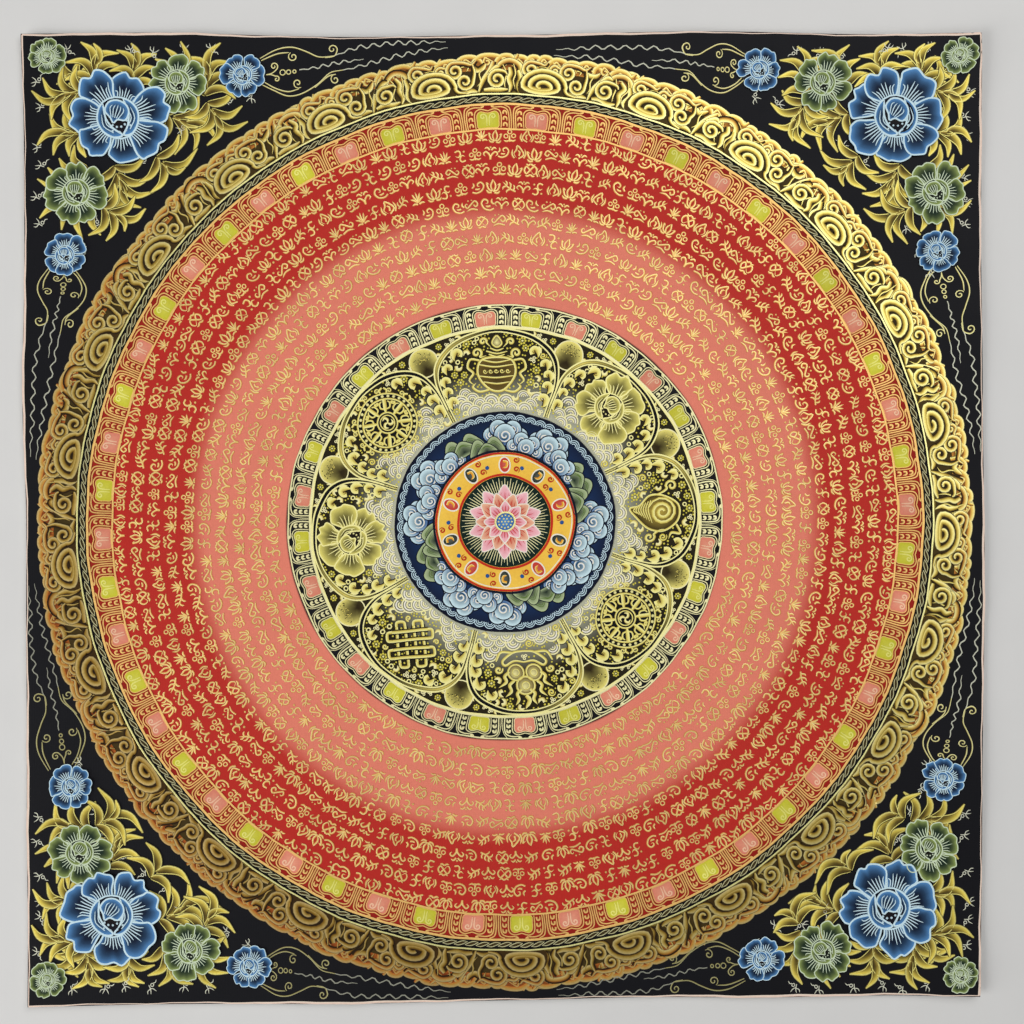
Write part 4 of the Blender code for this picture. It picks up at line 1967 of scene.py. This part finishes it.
@dataclass
class PetalRing(Design):
    """Eight arched petals round the middle, filled with gold dots, curls and lucky things."""

    edges: tuple[float, ...] = (-27, 21, 64, 107, 150, 195, 240, 287)
    heart: float = 80.5
    inner: float = 58.4
    outer: float = 99.2
    ball: float = 7.6

    # How wide the arch's inner and outer lines are, as shares of half a petal, at some radii.
    line_radius = (58.8, 66, 74, 81.5, 88.2, 93.8, 97.8, 99.4)
    line_share = (0.95, 0.955, 0.955, 0.92, 0.82, 0.64, 0.35, 0)
    rim_radius = (58.8, 66, 74, 82, 89.5, 95.6, 99.8, 101.2)
    rim_share = (1, 1, 1, 0.97, 0.87, 0.68, 0.38, 0)
    # The lobes along the arch: radius, and how far they are inside its line. Then the scallops' rows.
    lobes = ((68, 3.3), (74.2, 3.6), (80.2, 4), (86, 5), (91.2, 7.4))
    scallop_rows = (59.6, 63, 66.4, 69.8)
    scallop_pitch = 6.8

    @staticmethod
    def _arch(middle: float, half: float, radii: Sequence[float], shares: Sequence[float]) -> Path2:
        """Draws an arch line from its left foot over the top to its right foot.

        Args:
            middle, half: The petal's middle and half its width, in degrees.
            radii, shares: How wide it is at some radii, as shares of half the petal.

        Returns:
            The line.
        """
        knots = list(zip(shares, radii))
        line = curve(*((-s, r) for s, r in knots), *reversed(knots[:-1]), steps=5)
        return around_centre(np.radians(middle + half * line[:, 0]), line[:, 1])

    def _sphere(self) -> Film:
        """Draws a petal of the layer behind, which shows as a lit ball.

        Returns:
            The ball.
        """
        film = Film()
        outline = circle(0, 0, self.ball, 28)
        lit = np.clip(1 + 1.1 * outline[:, 1:] / self.ball, 0.03, 1)
        film.patch(outline, (0, -3.4), HUSK, blend(HUSK, CORN, lit), (0.4, 0.6, 0.8, 1), 0.03, 0.02, 2)
        film.loop(outline, Brush(0.6, PALE_GOLD, lift=0.08))
        for _ in range(60):
            angle, out = self.rng.uniform(0.05, 0.95) * pi, self.rng.uniform(1, 6.4)
            ink = GOLD if self.rng.uniform() < 0.5 else UMBER
            film.dot(out * cos(angle), out * sin(angle), 0.26, ink, 0.06)
        return film.packed()

    @staticmethod
    def _lobe() -> Film:
        """Draws a bright lobe of a scroll leaf.

        Returns:
            The lobe with its crescent and tail.
        """
        film = Film()
        comma = curve((-1.3, -0.9), (-0.9, 1), (1, 1.5), (2, 0.1), (1.7, -2), (0.5, -3.9))
        film.stroke(comma, Brush(3.6, SOOT, start=0.9, end=0.3, lift=0.08, crest=0))
        film.stroke(comma, Brush(2.6, blend(YELLOW, LEMON, 0.45), LEMON, OCHRE, 1, 0.05, 0.10, 0.06))
        curl, tail = spiral(0.1, 0.1, 1, 150, -1), curve((3.3, 1.6), (3.6, -0.6), (2.8, -2.8))
        film.stroke(curl, Brush(0.45, BRONZE, start=0.4, end=0.4, lift=0.18, crest=0))
        film.stroke(tail, Brush(0.8, LEMON, start=0.3, end=0.1, lift=0.12))
        return film.packed()

    @staticmethod
    def _fillers() -> tuple[tuple[Film | None, float, int], ...]:
        """Draws the small motifs between the large ones.

        Returns:
            Each motif, or none for a plain dot, with the room that it takes and how often it is tried.
        """
        rosette, curl, ring, comma, berries = Film(), Film(), Film(), Film(), Film()
        rosette.dot(0, 0, 0.62, LEMON)
        rosette.studs(7, 1.5, 0.62, YELLOW)
        curl.stroke(spiral(0, 0, 2.1, 0, 1.6), Brush(0.9, YELLOW, LEMON, OCHRE, 0.8, 0.4, 0.12))
        ring.ring(0, 0, 1, Brush(0.6, LEMON, lift=0.12), 9)
        path = curve((-0.4, -1.6), (1.1, -0.6), (0.7, 1), (-1.2, 1.5))
        comma.stroke(path, Brush(1.7, LEMON, PALE_GOLD, OCHRE, 1, 0.05, 0.12))
        for x, y in ((0, 0.9), (-0.85, -0.5), (0.85, -0.5)):
            berries.ring(x, y, 0.62, Brush(0.5, PALE_GOLD, lift=0.12), 7)
        return (
            (rosette.packed(), 2.1, 260), (curl.packed(), 2, 260), (comma.packed(), 1.6, 420),
            (berries.packed(), 1.5, 420), (ring.packed(), 1.15, 500), (None, 0.6, 3200),
        )

    @staticmethod
    def _scallop() -> Film:
        """Draws three nested arcs, as of a small cloud.

        Returns:
            The scallop.
        """
        film = Film()
        for radius, ink in ((3.7, PALE_GOLD), (2.5, IVORY), (1.35, PALE_GOLD)):
            film.stroke(circle(0, 0, radius, 16)[:9], Brush(0.72, ink, start=0.9, end=0.7, lift=0.10))
        film.dot(0, 0.2, 0.5, IVORY)
        return film.packed()

    def _reach(self, radius: float) -> float:
        """How wide the inner line of an arch is at a radius, as a share of half the petal."""
        return float(np.interp(radius, self.line_radius, self.line_share))

    def _free(self, x: float, y: float, room: float, half: float, taken: np.ndarray) -> bool:
        """Tells whether a place inside an arch is free.

        Args:
            x, y: The place, with the petal's middle along Y.
            room: The room that it needs.
            half: Half the petal's width, in degrees.
            taken: The places that are taken, each with its room.

        Returns:
            Whether it has this much room round it.
        """
        radius = float(np.hypot(x, y))
        share = abs(np.degrees(np.arctan2(x, y))) / half
        edge = self._reach(radius) - (room + 0.3) / (radius * radians(half))
        if not self.inner + room < radius < self.outer - room or share > edge:
            return False
        return bool(np.all(np.hypot(taken[:, 0] - x, taken[:, 1] - y) > room + taken[:, 2]))

    def _fill(self, middle: float, half: float, taken: np.ndarray) -> None:
        """Fills the black round a motif with the small ones.

        Args:
            middle, half: The petal's middle and half its width, in degrees.
            taken: The places that are taken, each with its room.
        """
        turn = radians(middle)
        for motif, room, tries in self._fillers():
            for _ in range(tries):
                x, y = self.near(0, 38), self.rng.uniform(50, 99)
                if not self._free(x, y, room, half, taken):
                    continue
                taken = np.vstack([taken, (x, y, room)])
                px = CENTRE[0] + x * cos(turn) + y * sin(turn)
                py = CENTRE[1] - x * sin(turn) + y * cos(turn)
                if motif is None:
                    self.film.dot(px, py, self.rng.uniform(0.4, 0.6), YELLOW, 0.1)
                else:
                    self.film.add(motif, Spot(px, py, self.rng.uniform(0, 360), self.rng.uniform(0.92, 1.1)))

    def _border(self, middle: float, half: float) -> None:
        """Paints a petal's dark arch between two gold lines, lit at the top left.

        Args:
            middle, half: The petal's middle and half its width, in degrees.
        """
        rim = self._arch(middle, half, self.rim_radius, self.rim_share)
        line = self._arch(middle, half, self.line_radius, self.line_share)
        lit = np.clip(1 - np.abs(np.linspace(-1, 1, len(rim)) + 0.35) * 3.2, 0, 1)[:, None]
        inks = [SOOT, blend(SOOT, GOLD, lit), SOOT]
        self.film.strip([rim, 0.5 * (rim + line), line], inks, [0.20, 0.22, 0.20])
        for width, path in ((0.8, rim), (0.66, line)):
            self.film.stroke(path, Brush(width, LEMON, start=1, end=1, lift=0.24))

    def _petal(self, middle: float, half: float, motif: Film) -> None:
        """Paints one petal with all that is in it.

        Args:
            middle, half: Its middle and half its width, in degrees.
            motif: The large motif in it.
        """
        self._border(middle, half)
        big, lobe, scallop = Film(), self._lobe(), self._scallop()
        big.add(motif, Spot(0, self.heart, self.near(0, 5)))
        cells = np.unique(np.round(np.vstack(big.places) / 0.8), axis=0) * 0.8
        taken = [(*cell, 0.5) for cell in cells]
        for side in (-1, 1):
            for radius, inset in self.lobes:
                across = self.near(side * (self._reach(radius) * radians(half) * radius - inset), 0.5)
                out, size = self.near(radius, 0.6), self.rng.uniform(0.85, 1.12)
                tilt = self.near(side * (out - 58) * 1.2, 12)
                spot = on_ring(middle + np.degrees(across / out), out, size, tilt)
                self.film.add(lobe, replace(spot, mirror=side < 0), 0.02 + 0.002 * (radius - 60))
                taken.append((out * sin(across / out), out * cos(across / out), 2.7 * size))
        for row, radius in enumerate(self.scallop_rows):
            edge = self._reach(radius) * radians(half) * radius - 3.6 - 2 * (row > 1)
            for step in range(-6, 7):
                across = self.near((step + 0.5 * (row % 2)) * self.scallop_pitch, 0.5)
                x, y = radius * sin(across / radius), radius * cos(across / radius)
                beyond = abs(across) >= edge or np.hypot(x, y + 1 - self.heart) <= 17
                if beyond or self.rng.uniform() >= 0.9:
                    continue
                size, tilt = self.rng.uniform(0.85, 1.1), self.near(0, 18)
                spot = on_ring(middle + np.degrees(across / radius), radius, size, tilt)
                self.film.add(scallop, spot, 0.012 * (4 - row))
                taken.append((x, y + 1.2, 2.7))
        self._fill(middle, half, np.array(taken))
        self.film.add(big, Spot(*CENTRE, -middle), 0.06)

    def draw(self) -> Film:
        """Draws the ring of petals.

        Returns:
            The whole ring.
        """
        first, second = (Peony(18.5, GILDED_FLOWER, self.rng, 7, 0.04, 1.7).draw() for _ in range(2))
        wheel, shell, vase = LuckyThings.wheel(), LuckyThings.shell(), LuckyThings.vase()
        motifs = (vase, first, shell, wheel, LuckyThings.gems(), LuckyThings.knot(), second, wheel)
        rosette, _, comma, berries = (kind[0] for kind in self._fillers()[:4])
        for start in self.edges:
            for side in (-1, 1):
                for offset, radius, small in (
                    (6.2, 98.2, rosette), (8.8, 97.6, berries), (10.6, 99.2, berries), (7.6, 94.2, berries),
                    (12.6, 99.6, comma), (5.2, 93.6, comma),
                ):
                    self.film.add(small, on_ring(start + side * offset, radius, 0.85, side * 40))
            self.film.add(self._sphere(), on_ring(start, 93.4), 0.08)
        ends = (*self.edges[1:], self.edges[0] + 360)
        for motif, start, end in zip(motifs, self.edges, ends):
            self._petal(0.5 * (start + end), 0.5 * (end - start), motif)
        gold_ring(self.film, 101.6, 0.9, LEMON)
        return self.film


# ---------------------------------------------------------------- middle


@dataclass
class Medallion(Design):
    """The round in the middle: clouds and hills, a ring of gems and an open lotus on dark green."""

    radius: float = 57.6
    waves: int = 64
    rays: int = 90

    cloud_lobes = ((-7.2, -1.6, 4), (7.4, -1.8, 4.2), (-3.8, 2.6, 4.6), (4.2, 2.4, 4.4), (0.2, -0.6, 5.2))
    hill_tops = ((-4.6, 4.6, 6), (5, 3.4, 6.4), (0, 1.2, 7))
    # The banks of clouds and hills: radius, how many, their size, the first one's turn and how high they lie.
    banks = ((46.6, 12, 1, 0, 0), (41.4, 12, 0.86, 15, 0.3))
    gem_lines = ((37.2, 1.2, MIDNIGHT), (36, 1, VERMILION), (34.8, 0.5, IVORY), (24.6, 1.2, VERMILION))
    # The lotus from its outer petals: how many, length, width and paints.
    layers = (
        (10, 19.4, 8.8, ROSE, PETAL_PINK), (10, 15.4, 7.4, VERMILION, BLUSH), (8, 11, 6, ROSE, PETAL_PINK),
    )

    def _cloud(self) -> Film:
        """Draws a bank of curling blue clouds, about 20 mm wide.

        Returns:
            The clouds, their tops along Y.
        """
        film = Film()
        for number, (x, y, size) in enumerate(self.cloud_lobes):
            x, y, size = self.near(x, 0.6), self.near(y, 0.6), size * self.rng.uniform(0.92, 1.08)
            level, hand = 0.08 + 0.05 * number, 1 if number % 2 else -1
            outline = circle(x, y, size, 20)
            film.patch(circle(x, y, size + 0.6, 20), (x, y), MIDNIGHT, MIDNIGHT, (1,), level, 0)
            ink = blend(COBALT, ICE, np.clip(0.75 + 0.6 * (outline[:, 1:] - y) / size, 0, 1.1))
            film.patch(outline, (x, y - 0.4 * size), TEAL, ink, (0.4, 0.7, 1), level + 0.02, 0, 1.5)
            swirl = spiral(x, y - 0.1 * size, 0.66 * size, 90 - 60 * hand, 1.6 * hand)
            film.stroke(swirl, Brush(1, IVORY, IVORY, AZURE, 0.8, 0.5, level + 0.04, 0.02))
        return film

    def _hill(self) -> Film:
        """Draws green hills in front of each other.

        Returns:
            The hills, their tops along Y.
        """
        film = Film()
        for number, (x, top, wide) in enumerate(self.hill_tops):
            x, top, level = self.near(x, 0.8), self.near(top, 0.6), 0.34 + 0.06 * number
            outline = curve(
                (x - wide, -6), (x - 0.55 * wide, top - 2.6), (x, top), (x + 0.55 * wide, top - 2.2),
                (x + wide, -6), (x, -6.8), steps=4, closed=True,
            )
            film.patch(outline, (x, -4.4), PINE, blend(MOSS, MINT, 0.45), (0.4, 0.7, 1), level, 0, 1.6)
            film.loop(outline, Brush(0.45, MIDNIGHT, lift=level + 0.015, crest=0.01))
            for inset in (0.74, 0.5):
                out = inset * wide
                ridge = curve((x - out, -3.4), (x, top * inset - 1.6), (x + out, -3.4), steps=4)
                film.stroke(ridge, Brush(0.4, OLIVE, start=0.3, end=0.3, lift=level + 0.02, crest=0.01))
        return film

    def _sky(self) -> None:
        """Paints the outer ring of clouds and hills, with waves along the dark rim."""
        self.film.disc(self.radius, COBALT, MIDNIGHT, (0.6, 0.85, 1), 0.04, 72)
        wave = Film()
        for radius in (3, 2, 1.1):
            arc = circle(0, 53.4, radius, 14)[:8]
            wave.stroke(arc, Brush(0.42, ICE, start=0.6, end=0.6, lift=0.07, crest=0.01))
        self.film.around(wave, self.waves, 180 / self.waves)
        for ring, (radius, count, size, first, raised) in enumerate(self.banks):
            for step in range(count):
                turn = first + step * 360 / count
                bank = self._hill() if (step + ring) % 3 == 1 else self._cloud()
                x, y = -radius * sin(radians(turn)), radius * cos(radians(turn))
                self.film.add(bank, Spot(x, y, turn, size), raised + 0.02 * (step % 2))
        self.film.ring(0, 0, self.radius - 0.2, Brush(0.9, MIDNIGHT, lift=0.36), 90)

    @staticmethod
    def _gem(ink: np.ndarray) -> Film:
        """Draws an oval gem with a dot and two curls beside it.

        Args:
            ink: The gem's paint.

        Returns:
            The gem at the top of its ring.
        """
        gem = Film()
        oval = circle(0, 0, 3.6, 20) * np.array([0.82, 1.16]) + np.array([0, 29.8])
        gem.patch(oval, (0, 29.8), blend(ink, IVORY, 0.12), ink, (0.6, 1), 0.80, 0.03)
        gem.loop(oval, Brush(0.7, IVORY, lift=0.82, crest=0.01))
        glint = curve((-0.9, 31.8), (1.2, 31.2), (0.8, 28.8), (-1.2, 28.2))
        gem.stroke(glint, Brush(1.3, SAFFRON, LEMON, SAFFRON, 0.9, 0.05, 0.86))
        gem.dot(9.212, 28.2, 1.1, COBALT, 0.82)
        for y, lean in ((32.4, 1), (27.4, -1)):
            curl = spiral(6.2, y, 1.7, 60 * lean, 1.3 * lean)
            gem.stroke(curl, Brush(0.8, VERMILION, RUST, VERMILION, 0.8, 0.3, 0.82, 0.02))
        return gem

    def _gems(self) -> None:
        """Paints the yellow ring with red and green gems."""
        self.film.disc(37.2, SAFFRON, CROCUS, (0.7, 1), 0.74)
        for radius, width, ink in self.gem_lines:
            self.film.ring(0, 0, radius, Brush(width, ink, lift=0.78, crest=0.02), 80)
        drawn = self._gem(VERMILION), self._gem(PINE)
        for step in range(10):
            self.film.add(drawn[step % 2], Spot(turn=36 * step))

    def _lotus(self) -> None:
        """Paints the dark green disc with fine gold rays, and the open lotus on it."""
        self.film.disc(23.8, PINE, PINE, (0.8, 1), 0.86)
        for step in range(self.rays):
            ray = Film()
            ends = np.array([(0, 13), (0, 18), (0, 22.8 - 1.6 * (step % 2))])
            ray.stroke(ends, Brush(0.4, PALE_GOLD, start=0.5, end=0.6, lift=0.88, crest=0.01))
            self.film.add(ray, Spot(turn=step * 360 / self.rays))
        level = 0.9
        for number, (count, long, wide, deep, pale) in enumerate(self.layers):
            w = 0.5 * wide
            right = ((0.7 * w, 0.34 * long), (w, 0.62 * long), (0.55 * w, 0.86 * long))
            left = tuple((-x, y) for x, y in reversed(right))
            outline = curve((0, 2), *right, (0, long), *left, steps=3, closed=True)
            petal = Film()
            petal.patch(outline, (0, 0.42 * long), deep, pale, (0.5, 0.8, 1), 0, 0, 1.5)
            petal.loop(outline, Brush(0.5, IVORY, lift=0.015, crest=0.01))
            for side in (-w, 0, w):
                vein = curve((0.3 * side, 0.4 * long), (0.5 * side, 0.62 * long), (0.45 * side, 0.8 * long))
                petal.stroke(vein, Brush(0.36, VERMILION, start=0.8, end=0.1, lift=0.02, crest=0.01))
            self.film.around(petal, count, 180 / count * (number % 2), (level, level + 0.03))
            level += 0.08
        self.film.patch(circle(0, 0, 5, 24), (0, 0), AZURE, COBALT, (0.6, 1), level, 0.05)
        self.film.ring(0, 0, 5, Brush(0.9, LEMON, lift=level + 0.03), 26)
        for count, out in ((1, 0), (6, 1.7), (12, 3.4)):
            self.film.studs(count, out, 0.5, LEMON, level + 0.08)

    def draw(self) -> Film:
        """Draws the round.

        Returns:
            The whole round, at the mandala's centre.
        """
        self._sky()
        self._gems()
        self._lotus()
        placed = Film()
        placed.add(self.film.packed(), Spot(*CENTRE))
        return placed


# ---------------------------------------------------------------- studio


@dataclass
class Studio:
    """A pale floor, soft light and the camera straight above.

    Places are in metres, and the camera's aim and the frame's width in mm.
    """

    aim: tuple[float, float] = (4.7, 3.7)
    frame_width: float = 536.2
    lens: float = 50.0
    sensor: float = 36.0
    floor_reach: float = 4.0
    floor_drop: float = 0.0003
    floor_colour: tuple[float, float, float] = (0.72, 0.71, 0.69)
    sky: tuple[float, float, float, float] = (0.95, 0.97, 1, 1)
    sky_strength: float = 0.2

    # The lights' names, places, sizes and powers.
    lights = (("window", (0.54, 0.70, 1.40), 1.6, 16), ("bounce", (-1.65, -0.75, 1.00), 1.5, 30))

    def build(self) -> None:
        """Builds the floor, the lights and the camera."""
        self._floor()
        for light in self.lights:
            self._light(*light)
        world = bpy.data.worlds.new("studio")
        bpy.context.scene.world = world
        world.use_nodes = True
        inputs = world.node_tree.nodes["Background"].inputs
        inputs["Color"].default_value = self.sky
        inputs["Strength"].default_value = self.sky_strength
        bpy.context.scene.view_settings.view_transform = "Standard"
        self._camera()

    def _floor(self) -> None:
        """Builds the pale floor."""
        mesh = bpy.data.meshes.new("floor")
        far = self.floor_reach
        corners = [(x, y, -self.floor_drop) for x, y in ((-far, -far), (far, -far), (far, far), (-far, far))]
        mesh.from_pydata(corners, [], [(0, 1, 2, 3)])
        recipe = Recipe("pale_floor")
        colour = recipe.tinted(self.floor_colour, 0.97 + recipe.noise(30) * 0.06)
        mesh.materials.append(recipe.dress(recipe.noise(300), 0.00005, Base_Color=colour, Roughness=0.8))
        floor = bpy.data.objects.new("floor", mesh)
        bpy.context.scene.collection.objects.link(floor)

    @staticmethod
    def _light(name: str, place: tuple[float, float, float], size: float, power: float) -> None:
        """Hangs a soft square light that looks at the middle of the sheet.

        Args:
            name, place: Its name and where it hangs.
            size, power: Its side in metres and its power in watts.
        """
        data = bpy.data.lights.new(name, "AREA")
        data.size, data.energy = size, power
        light = bpy.data.objects.new(name, data)
        light.location = place
        light.rotation_mode = "QUATERNION"
        light.rotation_quaternion = (-Vector(place)).to_track_quat("-Z", "Y")
        bpy.context.scene.collection.objects.link(light)

    def _camera(self) -> None:
        """Hangs the camera high enough that the photograph's width fills its frame."""
        data = bpy.data.cameras.new("camera")
        data.lens, data.sensor_width = self.lens, self.sensor
        camera = bpy.data.objects.new("camera", data)
        height = self.frame_width * MM * self.lens / self.sensor
        camera.location = (self.aim[0] * MM, self.aim[1] * MM, height + MM)
        bpy.context.scene.collection.objects.link(camera)
        bpy.context.scene.camera = camera


def main() -> None:
    """Builds the painting piece by piece, then the studio round it."""
    logging.basicConfig(level=logging.INFO, format="%(message)s")
    cloth = Cloth()
    face, back = Canvas(cloth).build()
    leaves, flowers = CornerSprays(cloth, seed=21).draw()
    outer_jewels = JewelRing(206, 218.3, 52, Ground.RED, 4.5, seed=52)
    inner_jewels = JewelRing(102.6, 113.4, 28, Ground.BLACK, -5.6, seed=28)
    films = (
        ("pale_edge", PaleEdge(cloth).draw(), "mineral_paint", 1),
        ("cloud_band", CloudBand(seed=11).draw(), "gold_paint", 1),
        ("rope_ring", RopeRing().draw(), "gold_paint", 1),
        ("outer_jewels", outer_jewels.draw(), "mineral_paint", 1),
        ("ornament_rows", OrnamentRows(seed=5).draw(), "gold_paint", 0.8),
        ("inner_jewels", inner_jewels.draw(), "mineral_paint", 1),
        ("petal_ring", PetalRing(seed=3).draw(), "gold_paint", 0.36),
        ("medallion", Medallion(seed=8).draw(), "mineral_paint", 1),
        ("tendrils", Tendrils().draw(), "gold_paint", 0.6),
        ("gold_leaves", leaves, "gold_paint", 0.6),
        ("peonies", flowers, "mineral_paint", 1),
    )
    pieces = [lay_film(name, film, cloth, gilding) for name, film, slot, gilding in films]
    for piece in (face, back, *pieces):
        log.info("%s: %d faces", piece.name, len(piece.data.polygons))
    Studio().build()


if __name__ == "__main__":
    main()
